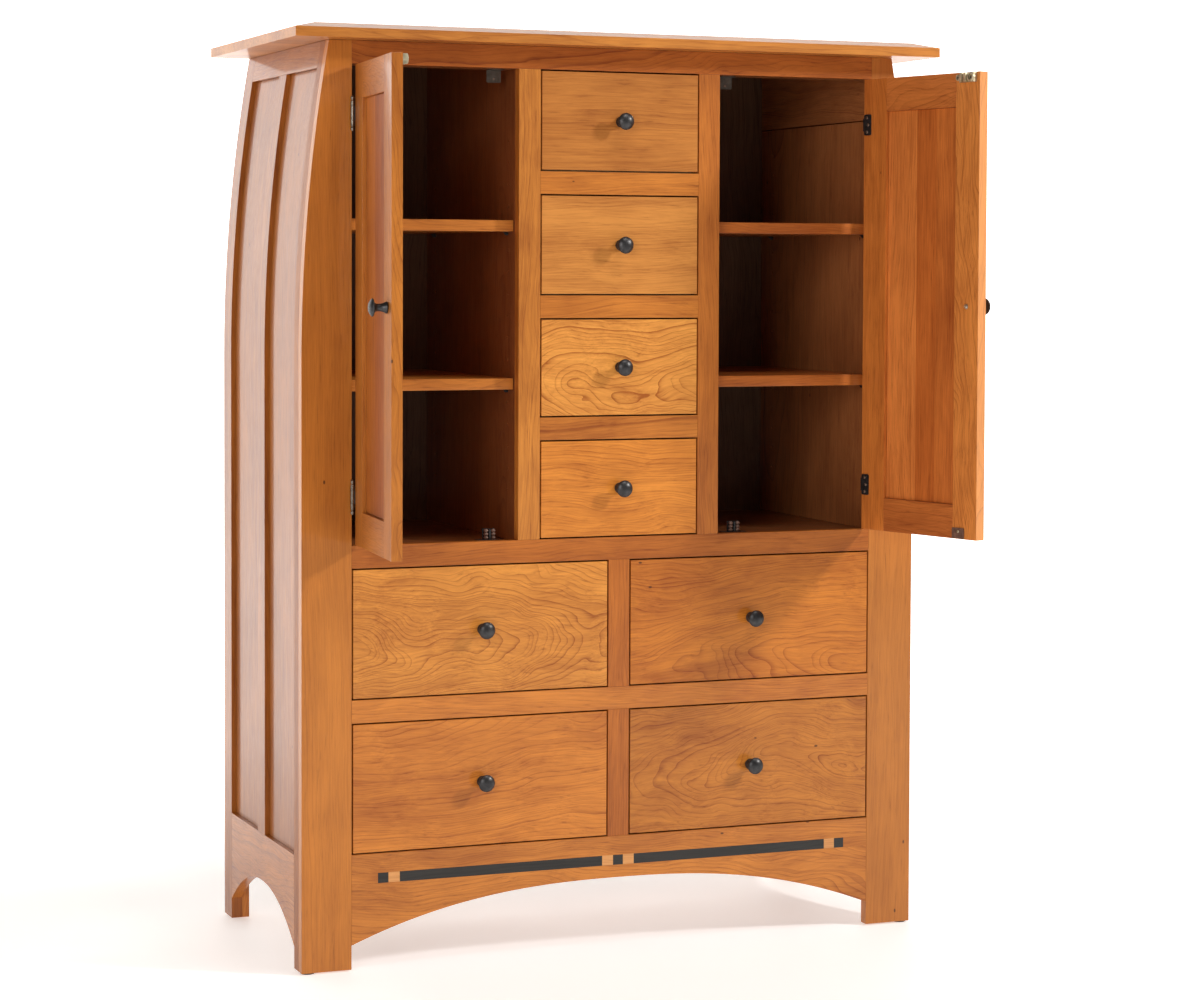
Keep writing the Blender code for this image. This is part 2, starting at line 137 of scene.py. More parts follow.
# ---- materials
class Nodes:
    """Shorthand for building one material's node tree."""

    def __init__(self, name):
        self.material = bpy.data.materials.new(name)
        self.material.use_nodes = True
        self.tree = self.material.node_tree
        self.shader = self.tree.nodes["Principled BSDF"]

    def add(self, kind, **inputs):
        node = self.tree.nodes.new(kind)
        for key, value in inputs.items():
            self.set(node, key.replace("_", " "), value)
        return node

    def set(self, node, socket, value):
        if isinstance(value, bpy.types.NodeSocket):
            self.tree.links.new(value, node.inputs[socket])
        else:
            node.inputs[socket].default_value = value

    def operate(self, kind, operation, values):
        node = self.tree.nodes.new(kind)
        node.operation = operation
        for place, value in enumerate(values):
            self.set(node, place, value)
        return node

    def math(self, operation, *values):
        return self.operate("ShaderNodeMath", operation, values).outputs[0]

    def mix(self, factor, first, second):
        node = self.tree.nodes.new("ShaderNodeMix")
        node.data_type = "RGBA"
        for place, value in ((0, factor), (6, first), (7, second)):
            if isinstance(value, tuple):
                value = (*value, 1.0)
            self.set(node, place, value)
        return node.outputs[2]

    def vector(self, operation, *values):
        node = self.operate("ShaderNodeVectorMath", operation, values)
        return node.outputs["Value" if operation == "LENGTH" else "Vector"]

    def place(self, vector, scale, start):
        node = self.add("ShaderNodeMapping", Vector=vector, Scale=scale, Location=start)
        return node.outputs[0]

    def noise(self, vector, scale=1.0, detail=2.0, roughness=0.5, output="Fac"):
        node = self.add("ShaderNodeTexNoise", Vector=vector, Scale=scale, Detail=detail,
                        Roughness=roughness)
        return node.outputs[output]

    def finish(self, **inputs):
        """Set the shader's own sockets and return the material."""
        for key, value in inputs.items():
            self.set(self.shader, key.replace("_", " "), value)
        return self.material

    def range(self, value, low, high, out_low=0.0, out_high=1.0):
        node = self.tree.nodes.new("ShaderNodeMapRange")
        for place, number in enumerate((value, low, high, out_low, out_high)):
            self.set(node, place, number)
        return node.outputs[0]

    def bump(self, height, strength, distance):
        node = self.add("ShaderNodeBump", Height=height, Strength=strength, Distance=distance)
        self.set(self.shader, "Normal", node.outputs[0])


def wood(tone, grain, seed, figure=0.5, centre=(0, 0, 0), face="Y", tint=PLAIN, coat=COAT,
         sap=None):
    """Cherry, maple or ebony: growth rings cut by the board's face, fibres and slow drift.

    tone is one of the tones, grain the board's long axis and face its thin one.  The
    pith lies behind the board's centre, closer and more tilted as figure goes from 0,
    straight grain, to 1, broad cathedrals.  seed picks the stretch of the log, and tint
    scales this board's colours: its own difference from the tone, and on some boards
    painted shade.  Past the given distance across the board from its centre, it turns
    pale: a painted highlight on an edge that catches the light.
    """
    name = tone[0]
    light, dark = [tuple(min(1.0, c * t) for c, t in zip(colour, tint)) for colour in tone[1:3]]
    n = Nodes(f"{name}_{len(bpy.data.materials)}")
    where = n.add("ShaderNodeTexCoord").outputs["Object"]
    local = n.add("ShaderNodeSeparateXYZ", Vector=n.vector("SUBTRACT", where, tuple(centre)))
    width = next(axis for axis in "XYZ" if axis not in (grain, face))
    log = n.add("ShaderNodeCombineXYZ")
    for socket, axis in zip("XYZ", (width, face, grain)):
        n.set(log, socket, local.outputs[axis])
    log = log.outputs[0]
    start = (seed * 3.71 % 17, seed * 1.93 % 11, seed * 5.37 % 23)

    # the rings wander and ripple along the board, less so in straight grain
    shifts = []
    for across, along, reach in (
        (6.5, 2.0 + 2.6 * figure, 0.016 + 0.087 * figure),
        (26.0, 5.0 + 10.0 * figure, 0.002 + 0.006 * figure),
    ):
        wave = n.noise(n.place(log, (across, across, along), start), output="Color")
        shift = n.vector("SUBTRACT", wave, (0.5, 0.5, 0.5))
        shifts.append(n.vector("MULTIPLY", shift, (reach, reach, 0.0)))
    bent = n.vector("ADD", log, n.vector("ADD", *shifts))

    # distance from a pith behind the board, tilted to its face
    tilt = (0.02 + 0.16 * figure) * (1 if seed % 2 else -1)
    slope = 0.02 * math.sin(seed * 1.7)
    away = 0.14 - 0.07 * figure
    aside = (0.01 + 0.26 * (1.0 - figure)) * (1 if seed % 3 else -1)
    pith = n.add("ShaderNodeMapping", Vector=bent, Rotation=(tilt, slope, 0),
                 Location=(aside, away, 0))
    radius = n.vector("LENGTH", n.vector("MULTIPLY", pith.outputs[0], (1.0, 1.0, 0.0)))

    # each ring darkens slowly, then ends at once; good and bad years differ
    per_ring = n.add("ShaderNodeCombineXYZ")
    n.set(per_ring, "X", radius)
    rings = per_ring.outputs[0]
    years = n.noise(n.place(rings, (40.0, 1, 1), start))
    turns = n.math("ADD", n.math("MULTIPLY", radius, RINGS_PER_METRE),
                   n.math("MULTIPLY", years, 7.0))
    late = n.math("POWER", n.math("FRACT", turns), 7.0)
    strong = n.range(n.noise(n.place(rings, (110.0, 1, 1), start)), 0.3, 0.7, 0.30)
    late = n.math("MULTIPLY", late, strong)

    # fibres, streaks, curl across the grain and the drift between heart and sap
    fibre, fine, streak, drift, cloud = [
        n.noise(n.place(bent, (across, across, along), start), 1.0, detail, roughness)
        for across, along, detail, roughness in (
            (760.0, 24.0, 3.0, 0.6), (290.0, 17.0, 3.0, 0.65), (85.0, 3.0, 4.0, 0.6),
            (10.0, 2.2, 2.0, 0.5), (17.0, 11.0, 2.0, 0.5),
        )
    ]
    darker = n.math("MULTIPLY", late, 0.34 + 0.58 * figure)
    for value, reach in (
        (streak, (0.32, 0.72, -0.05, 0.27)), (fine, (0.30, 0.72, -0.03, 0.30)),
        (fibre, (0.30, 0.75, 0.0, 0.14)), (drift, (0.30, 0.70, -0.17, 0.20)),
        (cloud, (0.30, 0.70, -0.11, 0.13)),
    ):
        darker = n.math("ADD", darker, n.range(value, *reach))
    shade = n.mix(n.range(darker, 0.0, 1.0), light, dark)
    flecks = n.range(fine, 0.62, 0.74, 0.0, 0.40)
    shade = n.mix(flecks, shade, tuple(c * 0.60 for c in dark))
    # painted highlight: the part of the board past the given distance from its centre turns pale,
    # like an edge catching the light
    if sap is not None:
        across = n.math("MULTIPLY", local.outputs[width], math.copysign(1.0, sap))
        pale = n.range(across, abs(sap), abs(sap) + HIGHLIGHT_FADE, 0.0, HIGHLIGHT_SHARE)
        shade = n.mix(pale, shade, EDGE_HIGHLIGHT)
    if name.startswith("cherry"):                     # sparse specks of dark gum
        spots = n.place(log, (15.0, 15.0, 8.0), start)
        gum = n.add("ShaderNodeTexVoronoi", Vector=spots, Scale=1.0)
        specks = n.range(gum.outputs["Distance"], 0.022, 0.034, 0.80, 0.0)
        shade = n.mix(specks, shade, GUM)
    n.bump(fibre, 0.08, 0.0003)
    return n.finish(Base_Color=shade, Roughness=n.range(fibre, 0.3, 0.8, 0.40, 0.56),
                    Specular_IOR_Level=0.20, Coat_Weight=coat, Coat_Roughness=0.11, Coat_IOR=1.5)


def metal(name, colour, low, high, metallic, grain_scale=(900.0, 900.0, 900.0)):
    """Plated metal: mottled roughness, fine tooth, and a touch of colour change."""
    n = Nodes(name)
    where = n.add("ShaderNodeTexCoord").outputs["Object"]
    fine_map = n.add("ShaderNodeMapping", Vector=where, Scale=grain_scale)
    fine = n.noise(fine_map.outputs[0], 1.0, 3.0, 0.6)
    broad = n.noise(where, 110.0, 2.0, 0.5)
    pale = tuple(min(1.0, c * 1.55 + 0.004) for c in colour)
    n.bump(fine, 0.08, 0.0002)
    return n.finish(Base_Color=n.mix(n.range(broad, 0.35, 0.70), colour, pale),
                    Roughness=n.range(fine, 0.3, 0.7, low, high), Metallic=metallic)


def plain(n, colour, low, high, scale, **more):
    """Moulded plastic or paper on the node tree n: faint mottling in colour and roughness."""
    where = n.add("ShaderNodeTexCoord").outputs["Object"]
    cloud = n.noise(where, scale, 4.0, 0.6)
    n.bump(cloud, 0.05, 0.0003)
    return n.finish(Base_Color=n.mix(cloud, colour, tuple(c * 0.93 for c in colour)),
                    Roughness=n.range(cloud, 0.3, 0.7, low, high), **more)


# each tone: name, light, dark and the slot of its pieces
CASE_TONE = ("cherry_case", CHERRY_LIGHT, CHERRY_DARK, "cherry_case")
POST_TONE = ("cherry_post", CHERRY_LIGHT, (0.370, 0.115, 0.017), "cherry_case")
FRONT_TONE = ("cherry_front", (0.745, 0.305, 0.056), (0.305, 0.077, 0.010), "cherry_front")
PANEL_TONE = ("cherry_panel", CHERRY_LIGHT, CHERRY_DARK, "cherry_panel")
# painted shade: the insides get a darker cherry than the case, for the shade inside the cupboard
SHADED_INNER_TONE = ("cherry_inner", (0.320, 0.110, 0.034), (0.135, 0.040, 0.012), "cherry_case")
# painted shade, lighter than the other insides', for the side walls that more light reaches
SHADED_LINER_TONE = ("cherry_liner", (0.500, 0.180, 0.056), (0.220, 0.066, 0.020), "cherry_case")
MAPLE_TONE = ("maple", (0.780, 0.600, 0.370), (0.620, 0.420, 0.220), "drawer_maple")
TAN_TONE = ("cherry_tan", (0.760, 0.360, 0.120), (0.500, 0.200, 0.060), "cherry_case")
EBONY_TONE = ("ebony", (0.030, 0.028, 0.025), (0.013, 0.012, 0.011), "cherry_case")
bronze = metal("bronze", (0.045, 0.0445, 0.046), 0.30, 0.44, 0.75)
steel = metal("steel", (0.55, 0.52, 0.46), 0.24, 0.42, 1.0, (1400.0, 1400.0, 120.0))
nickel = metal("nickel", (0.46, 0.42, 0.29), 0.34, 0.50, 0.9)
barrel_metal = metal("barrel_metal", (0.220, 0.200, 0.170), 0.22, 0.38, 1.0)
pewter = metal("pewter", (0.085, 0.072, 0.058), 0.40, 0.55, 0.5)
screw_metal = metal("screw_metal", (0.190, 0.130, 0.100), 0.30, 0.45, 0.8)
strike_metal = metal("strike_metal", (0.150, 0.090, 0.068), 0.42, 0.58, 0.4)
# painted shade: the glides are near black-brown, for the shadow they sit in under the legs
shaded_nylon = plain(Nodes("shaded_nylon"), (0.060, 0.040, 0.028), 0.40, 0.55, 300.0)


# ---- making pieces
flat_pieces = []                             # pieces whose normals follow their big faces


def at(x, y, z):
    """Matrix that moves things to a point."""
    return Matrix.Translation((x, y, z))


CASE = at(0, FRONT, 0)                       # places pieces built in case coordinates


def new_mesh(name, work):
    """Turn a bmesh into a mesh, and free it."""
    mesh = bpy.data.meshes.new(name)
    work.to_mesh(mesh)
    work.free()
    return mesh


def new_object(name, data):
    """Put a mesh, lamp or camera in the scene."""
    thing = bpy.data.objects.new(name, data)
    bpy.context.scene.collection.objects.link(thing)
    return thing


def bevel(work, edges, width, segments=2, **options):
    """Round the given edges."""
    bmesh.ops.bevel(work, geom=edges, offset=width, segments=segments, affect="EDGES",
                    profile=0.5, **options)


def add_piece(name, work, material, body="case", place=CASE, stands_for=None,
              slot="dark_bronze", smooth=40, turned=False):
    """Finish a bmesh as a named piece that rides on a body; turned ones are all curves."""
    bmesh.ops.recalc_face_normals(work, faces=work.faces)
    mesh = new_mesh(name, work)
    mesh.materials.append(material)
    mesh.shade_smooth()
    mesh.set_sharp_from_angle(angle=math.radians(smooth))
    piece = new_object(name, mesh)
    piece.matrix_world = place
    bpy.context.view_layer.update()
    if stands_for:
        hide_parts(stands_for)
    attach(piece, body)
    if not turned:
        flat_pieces.append(piece)
    return piece


def settle_normals():
    """Turn each piece's corner normals to its large faces, away from the eased edges."""
    for piece in flat_pieces:
        weigh = piece.modifiers.new("weigh", "WEIGHTED_NORMAL")
        weigh.keep_sharp = True
        weigh.weight = 50
    bpy.context.view_layer.update()
    graph = bpy.context.evaluated_depsgraph_get()
    settled = [
        bpy.data.meshes.new_from_object(piece.evaluated_get(graph)) for piece in flat_pieces
    ]
    for piece, mesh in zip(flat_pieces, settled):
        piece.modifiers.clear()
        piece.data = mesh


def ease(work, width, segments=2):
    """Round every sharp edge a little, as sandpaper does."""
    sharp = [e for e in work.edges if e.is_manifold and e.calc_face_angle() > math.radians(30)]
    bevel(work, sharp, width, segments, clamp_overlap=True)


def join_rings(work, lower, upper):
    """Fill the wall between two rings of vertices."""
    for n in range(len(lower)):
        m = (n + 1) % len(lower)
        work.faces.new((lower[n], lower[m], upper[m], upper[n]))


def add_block(work, low, high):
    """Add a box to a bmesh and return its vertices."""
    made = bmesh.ops.create_cube(work, size=1.0)["verts"]
    for v in made:
        v.co = Vector(low[i] if v.co[i] < 0 else high[i] for i in range(3))
    return made


def add_eased_block(work, low, high, edge):
    """Add a box to a bmesh with its own edges rounded."""
    fresh = add_block(work, low, high)
    bevel(work, list({e for v in fresh for e in v.link_edges}), edge)


def add_sweep(work, outline, start, end, axis):
    """Extrude a closed outline from start to end along axis 0, 1 or 2."""
    rest = [i for i in range(3) if i != axis]
    verts = []
    for pair in outline:
        point = [0.0, 0.0, 0.0]
        point[axis] = start
        point[rest[0]], point[rest[1]] = pair
        verts.append(work.verts.new(point))
    face = work.faces.new(verts)
    moved = bmesh.ops.extrude_face_region(work, geom=[face])["geom"]
    shift = Vector((0, 0, 0))
    shift[axis] = end - start
    made = [v for v in moved if isinstance(v, bmesh.types.BMVert)]
    bmesh.ops.translate(work, verts=made, vec=shift)
    return verts + made


def add_lathe(work, profile, turn=Matrix(), sides=40):
    """Spin (distance along +Z, radius) points, placed by a matrix."""
    verts = [work.verts.new((radius, 0, along)) for along, radius in profile]
    edges = [work.edges.new(pair) for pair in zip(verts, verts[1:])]
    before = set(work.verts) - set(verts)
    bmesh.ops.spin(
        work, geom=verts + edges, cent=(0, 0, 0), axis=(0, 0, 1),
        angle=math.tau, steps=sides, use_merge=True,
    )
    made = [v for v in work.verts if v not in before]
    bmesh.ops.remove_doubles(work, verts=made, dist=0.000005)
    made = [v for v in work.verts if v not in before]
    bmesh.ops.transform(work, matrix=turn, verts=made)


def add_screw(work, turn, radius=0.0026, height=0.0009):
    """A low countersunk screw head with a cross recess, its face along +Z."""
    rings = ((0.0, radius), (height * 0.35, radius), (height, radius * 0.72))
    sides = 20
    loops = []
    for z, r in rings:
        angles = [math.tau * n / sides for n in range(sides)]
        loops.append([work.verts.new((r * math.cos(a), r * math.sin(a), z)) for a in angles])
    arm, half = radius * 0.50, radius * 0.13
    corner = ((half, half), (half, arm), (-half, arm), (-half, half))
    cross = []
    for n in range(4):
        turned = Matrix.Rotation(math.pi / 2 * n, 2)
        for x, y in corner[:3]:
            cross.append(turned @ Vector((x, y)))
    for z in (height, height * 0.25):
        loops.append([work.verts.new((p.x, p.y, z)) for p in cross])
    for lower in (0, 1, 3):
        join_rings(work, loops[lower], loops[lower + 1])
    work.faces.new(loops[0])
    work.faces.new(loops[4])
    rim = [work.edges.get((loops[2][n], loops[2][n - 1])) for n in range(sides)]
    rim += [work.edges.get((loops[3][n], loops[3][n - 1])) for n in range(len(cross))]
    bmesh.ops.triangle_fill(work, edges=rim, use_beauty=True)
    made = [v for loop in loops for v in loop]
    bmesh.ops.transform(work, matrix=turn, verts=made)


def add_wood(name, work, tone, grain, seed, figure, centre, face, tint=PLAIN, coat=COAT,
             sap=None, slot=None, **options):
    """Finish a bmesh as a wooden piece."""
    material = wood(tone, grain, seed, figure, centre, face, tint, coat, sap)
    return add_piece(name, work, material, slot=slot or tone[3], **options)


def centre_and_face(work, grain):
    """The middle of a bmesh's box, and its thinnest axis that isn't the grain's."""
    spans = [(min(v.co[i] for v in work.verts), max(v.co[i] for v in work.verts)) for i in range(3)]
    centre = [(low + high) / 2 for low, high in spans]
    thin = min((high - low, "XYZ"[i]) for i, (low, high) in enumerate(spans) if "XYZ"[i] != grain)
    return centre, thin[1]


def board(name, low, high, grain, seed, tone=CASE_TONE, edge=0.0005, figure=0.35, tongue=None,
          **options):
    """A straight board with eased edges; tongue is an inner block that reaches further."""
    work = bmesh.new()
    low, high = [[f(pair) for pair in zip(low, high)] for f in (min, max)]
    add_block(work, low, high)
    centre, face = centre_and_face(work, grain)
    ease(work, edge)
    if tongue:
        add_block(work, *[[f(pair) for pair in zip(*tongue)] for f in (min, max)])
    return add_wood(name, work, tone, grain, seed, figure, centre, face, **options)


def carve(piece, cutter_work):
    """Cut the bmesh's bodies out of a piece."""
    bmesh.ops.recalc_face_normals(cutter_work, faces=cutter_work.faces)
    cutter = new_object("cutter", new_mesh("cutter", cutter_work))
    cutter.matrix_world = piece.matrix_world
    cut = piece.modifiers.new("cut", "BOOLEAN")
    cut.operation, cut.solver, cut.object = "DIFFERENCE", "EXACT", cutter
    bpy.context.view_layer.update()
    shaped = piece.evaluated_get(bpy.context.evaluated_depsgraph_get())
    result = bpy.data.meshes.new_from_object(shaped)
    piece.modifiers.clear()
    piece.data = result
    bpy.data.objects.remove(cutter, do_unlink=True)


def case_box(node):
    """Corners of a CAD node's box in case coordinates."""
    return [Vector(corner) - Vector((0, FRONT, 0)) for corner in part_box(node)]


def half_width(z):
    """Half width of the case at height z: straight, then one arc inwards."""
    lean = HALF_BASE - HALF_NECK
    rise = UNDERSIDE - BOW_START
    radius = (rise ** 2 + lean ** 2) / (2 * lean)
    above = max(0.0, z - BOW_START)
    return HALF_BASE - (radius - math.sqrt(radius ** 2 - above ** 2))


def bow_heights(low, high, steps=40):
    """Heights from low to high that follow the bow closely enough."""
    bow = [BOW_START + (UNDERSIDE - BOW_START) * n / steps for n in range(steps)]
    return [low] + [z for z in bow if low < z < high] + [high]


def bowed_board(name, side, ys, zs, seed, grain="Z", tone=CASE_TONE, inset=0.0,
                thick=SIDE_THICK, edge=0.0005, **options):
    """A board bent to the side's curve, from depth ys[0] to ys[1] and height zs[0] to zs[1]."""
    outline = []
    heights = bow_heights(*zs)
    for extra, order in ((inset, heights), (inset + thick, reversed(heights))):
        outline += [(side * (half_width(z) - extra), z) for z in order]
    work = bmesh.new()
    add_sweep(work, outline, ys[0], ys[1], 1)
    centre = (side * HALF_BASE, sum(ys) / 2, sum(zs) / 2)
    ease(work, edge)
    add_wood(name, work, tone, grain, seed, 0.25, centre, "X", SIDE_PAINTED_SHADE, **options)


def arch_height(along, half, spring, crown, power):
    """Height of an arch at a distance along from its middle."""
    return crown - (crown - spring) * (abs(along) / half) ** power


def arch_outline(low, high, top, spring, crown, power, steps=48):
    """Board outline whose lower edge is an arch between low and high."""
    middle, half = (low + high) / 2, (high - low) / 2
    outline = [(high, top), (low, top)]
    for n in range(steps + 1):
        along = -half + 2 * half * n / steps
        outline.append((middle + along, arch_height(along, half, spring, crown, power)))
    return outline


# ---- case woodwork
def build_slab():
    """Top slab: square edge, then a wide shallow bevel on the front and ends."""
    low, high = case_box("top_slab")
    square_edge, bevel_in, bevel_back = 0.017, 0.043, 0.034
    rings = []
    for x, y, z in (
        (high.x, low.y, low.z), (high.x, low.y, low.z + square_edge),
        (high.x - bevel_in, low.y + bevel_back, high.z),
    ):
        rings.append([(-x, y, z), (x, y, z), (x, high.y, z), (-x, high.y, z)])
    work = bmesh.new()
    verts = [[work.verts.new(p) for p in ring] for ring in rings]
    for lower, upper in zip(verts, verts[1:]):
        join_rings(work, lower, upper)
    work.faces.new(verts[0])
    work.faces.new(verts[-1])
    creases = [e for e in work.edges if e.calc_face_angle() > math.radians(8)]
    bevel(work, creases, 0.0009, clamp_overlap=True)
    add_wood("slab", work, CASE_TONE, "X", 3, 0.15, (0, DEPTH / 2, UNDERSIDE), "Z",
             (1.00, 1.10, 1.30), 0.36, stands_for="top_slab", smooth=30)


def build_posts():
    """Front posts: straight inside, bowed outside."""
    for word, side in SIDES:
        heights = bow_heights(GLIDE, UNDERSIDE - FIT)
        outline = [(side * POST_INNER, heights[-1]), (side * POST_INNER, heights[0])]
        outline += [(side * half_width(z), z) for z in heights]
        work = bmesh.new()
        add_sweep(work, outline, 0.0, BOARD_FRONT, 1)
        ease(work, 0.0006)
        tint = (0.86, 0.85, 0.90) if side > 0 else (0.95, 0.93, 0.87)
        add_wood("post_" + word, work, POST_TONE, "Z", 5 + side, 0.15, (side * 0.54, 0, 0.8),
                 "Y", tint, stands_for="front_post_" + word)


def build_sides():
    """Stiles, rails and panels of the bowed sides, and the backing inside the legs."""
    top = UNDERSIDE - FIT
    seam = 0.00015
    for word, side in SIDES:
        tag = 20 if side < 0 else 40
        start = BOARD_FRONT + seam
        bowed_board(f"side_stile_front_{word}", side, (start, STILE_FRONT), (GLIDE, top), tag,
                    stands_for="side_frame_" + word, coat=0.21)
        bowed_board(f"side_stile_rear_{word}", side, (STILE_REAR, DEPTH), (GLIDE, top), tag + 1)
        middle = (SIDE_PANEL_Z[0] + seam, SIDE_PANEL_Z[1] - seam)
        bowed_board(f"side_stile_middle_{word}", side, STILE_MIDDLE, middle, tag + 2)
        rail = (STILE_FRONT + seam, STILE_REAR - seam)
        bowed_board(f"side_rail_top_{word}", side, rail, (SIDE_PANEL_Z[1], top), tag + 3, "Y")
        bays = ((STILE_FRONT, STILE_MIDDLE[0]), (STILE_MIDDLE[1], STILE_REAR))
        for place, (near, far) in zip(("front", "rear"), bays):
            bowed_board(
                f"side_panel_{place}_{word}", side, (near + FIT, far - FIT),
                (SIDE_PANEL_Z[0] + FIT, SIDE_PANEL_Z[1] - FIT), tag + 4 + (place == "rear"),
                tone=PANEL_TONE, inset=0.0085, thick=0.007, edge=0.0003,
                stands_for=f"side_panel_{word}_{place}",
            )
        outer = side * HALF_BASE
        work = bmesh.new()
        add_sweep(work, arch_outline(*rail, SIDE_PANEL_Z[0], *SIDE_ARCH), outer,
                  outer - side * SIDE_THICK, 0)
        ease(work, 0.0006)
        add_wood("side_rail_bottom_" + word, work, CASE_TONE, "Y", tag + 6, 0.5,
                 (outer, DEPTH / 2, 0.15), "X", deeper(0.88), 0.55)
        backing = (outer - side * (SIDE_THICK + FIT), outer - side * BACKING_DEPTH)
        board(f"leg_backing_{word}", (backing[0], STILE_REAR + seam, GLIDE),
              (backing[1], DEPTH - 0.0005, BACKING_TOP), "Z", tag + 7)


def build_front_frame():
    """Rails, dividers and the boards behind them."""
    rail_half = POST_INNER - FIT / 2
    side_half = HALF_BASE - SIDE_THICK - FIT
    behind = BOARD_FRONT + FIT

    def rail(name, half, heights, seed, **options):
        board(name, (-half, 0, heights[0]), (half, BOARD_FRONT, heights[1]), "X", seed, **options)

    def flat_board(name, half, top, seed, **options):
        board(name, (-half, behind, top - BOARD), (half, BOARD_BACK, top), "X", seed, SHADED_INNER_TONE,
              **options)

    # painted shadow: the top rail's tint darkens it for the shadow under the slab's overhang
    rail("rail_top", rail_half, (TOP_RAIL_BOTTOM, UNDERSIDE - FIT), 60, stands_for="top_rail",
         figure=0.70, tint=(0.76, 0.61, 0.57))
    for name, node, heights, board_top, seed, tint in (
        ("rail_mid", "mid_rail", MID_RAIL, FLOOR_TOP, 61, (0.84, 0.73, 0.62)),
        ("rail_low", "lower_rail", LOW_RAIL, LOW_RAIL[1], 63, (1.08, 1.07, 1.06)),
    ):
        rail(name, rail_half, heights, seed, stands_for=node, tint=tint)
        flat_board(name + "_board", side_half, board_top, seed + 1)
    inner_half = DIVIDER_INNER - FIT / 2
    board_half = DIVIDER_OUTER - BOARD - FIT
    for number, heights in enumerate(reversed(CENTRE_RAILS), 1):
        rail(f"rail_centre_{number}", inner_half, heights, 64 + number,
             stands_for=f"centre_rail_{number}")
        flat_board(f"dust_board_{number}", board_half, heights[1], 67 + number)
    flat_board("board_bottom", side_half, APRON_TOP, 72, stands_for="bottom_board")
    for word, side in SIDES:
        board(f"upright_{word}", (side * DIVIDER_INNER, 0, MID_RAIL[1] + FIT / 2),
              (side * DIVIDER_OUTER, BOARD_FRONT, TOP_RAIL_BOTTOM - FIT / 2), "Z", 74 + side,
              stands_for="divider_" + word,
              tint=(1.04, 1.14, 1.22) if side < 0 else (0.88, 0.81, 0.81))
        partition = board(
            f"partition_{word}", (side * (DIVIDER_OUTER - BOARD), behind, FLOOR_TOP + FIT),
            (side * DIVIDER_OUTER, BOARD_BACK, UNDERSIDE - FIT), "Z", 77 + side, tone=SHADED_INNER_TONE,
        )
        drill_pin_holes(partition, side * DIVIDER_OUTER)
    half = LOW_DIVIDER_HALF
    for row, node, low, high, board_high, seed in (
        ("lower", "divider_lower_1", APRON_TOP, LOW_RAIL[0], LOW_RAIL[1] - BOARD, 80),
        ("upper", "divider_lower_2", LOW_RAIL[1], MID_RAIL[0], FLOOR_TOP - BOARD, 82),
    ):
        board(f"upright_{row}", (-half, 0, low + FIT / 2), (half, BOARD_FRONT, high - FIT / 2),
              "Z", seed, stands_for=node, tint=(0.87, 0.75, 0.63))
        board(f"partition_{row}", (-BOARD / 2, behind, low + FIT),
              (BOARD / 2, BOARD_BACK, board_high - FIT), "Z", seed + 1, tone=SHADED_INNER_TONE)


def drill_pin_holes(piece, face):
    """Two columns of shelf-pin holes, 5 mm across, drilled into the wall at x = face."""
    cutter = bmesh.new()
    turn = Matrix.Rotation(math.pi / 2, 4, "Y")
    for y in PIN_ROWS:
        for n in range(PIN_HOLES):
            bmesh.ops.create_cone(
                cutter, cap_ends=True, segments=14, radius1=PIN_HOLE_RADIUS,
                radius2=PIN_HOLE_RADIUS, depth=2 * PIN_HOLE_DEPTH,
                matrix=at(face, y, PIN_HOLE_LOW + PIN_HOLE_STEP * n) @ turn,
            )
    carve(piece, cutter)


def build_inside():
    """Back panel, liners, cleats, shelves and their pins."""
    heights = bow_heights(APRON_TOP - BOARD, UNDERSIDE - FIT)
    right = [(half_width(z) - SIDE_THICK - FIT, z) for z in heights]
    work = bmesh.new()
    start = BOARD_BACK + FIT
    add_sweep(work, right + [(-x, z) for x, z in reversed(right)], start, start + 0.012, 1)
    ease(work, 0.0004)
    add_wood("back", work, SHADED_INNER_TONE, "Z", 90, 0.5, (0, start, 0.9), "Y", (0.60, 0.95, 1.60),
             slot="cherry_panel", stands_for="back_panel")
    for word, side in SIDES:
        near, far = side * LINER_FACE, side * (LINER_FACE + 0.0055)
        y0, y1 = BOARD_FRONT + FIT, BOARD_BACK - FIT
        liner = board(f"liner_{word}_lower", (near, y0, FLOOR_TOP + FIT),
                      (far, y1, LINER_SPLIT - FIT), "Z", 92 + side, tone=SHADED_LINER_TONE)
        drill_pin_holes(liner, near)
        board(f"liner_{word}_upper", (near - side * 0.001, y0, LINER_SPLIT + 0.0018),
              (far, y1, UNDERSIDE - FIT), "Y", 95 + side, tone=SHADED_LINER_TONE)
        board(f"top_cleat_{word}", (side * (DIVIDER_OUTER + FIT), y0, TOP_RAIL_BOTTOM),
              (side * (LINER_FACE - 0.001 - FIT), 0.058, UNDERSIDE - FIT), "X", 98 + side,
              tone=SHADED_INNER_TONE)
        for place, top in zip(("lower", "upper"), SHELF_TOPS):
            name = f"shelf_{word}_{place}"
            board(name + "_board", *case_box(name), "X", 100 + side + 3 * (place == "upper"),
                  tone=PANEL_TONE, stands_for=name, edge=0.0012,
                  tint=(0.85, 0.70, 0.75) if side > 0 else PLAIN)
            add_shelf_pins(f"pins_{word}_{place}", side, top - SHELF_THICK)


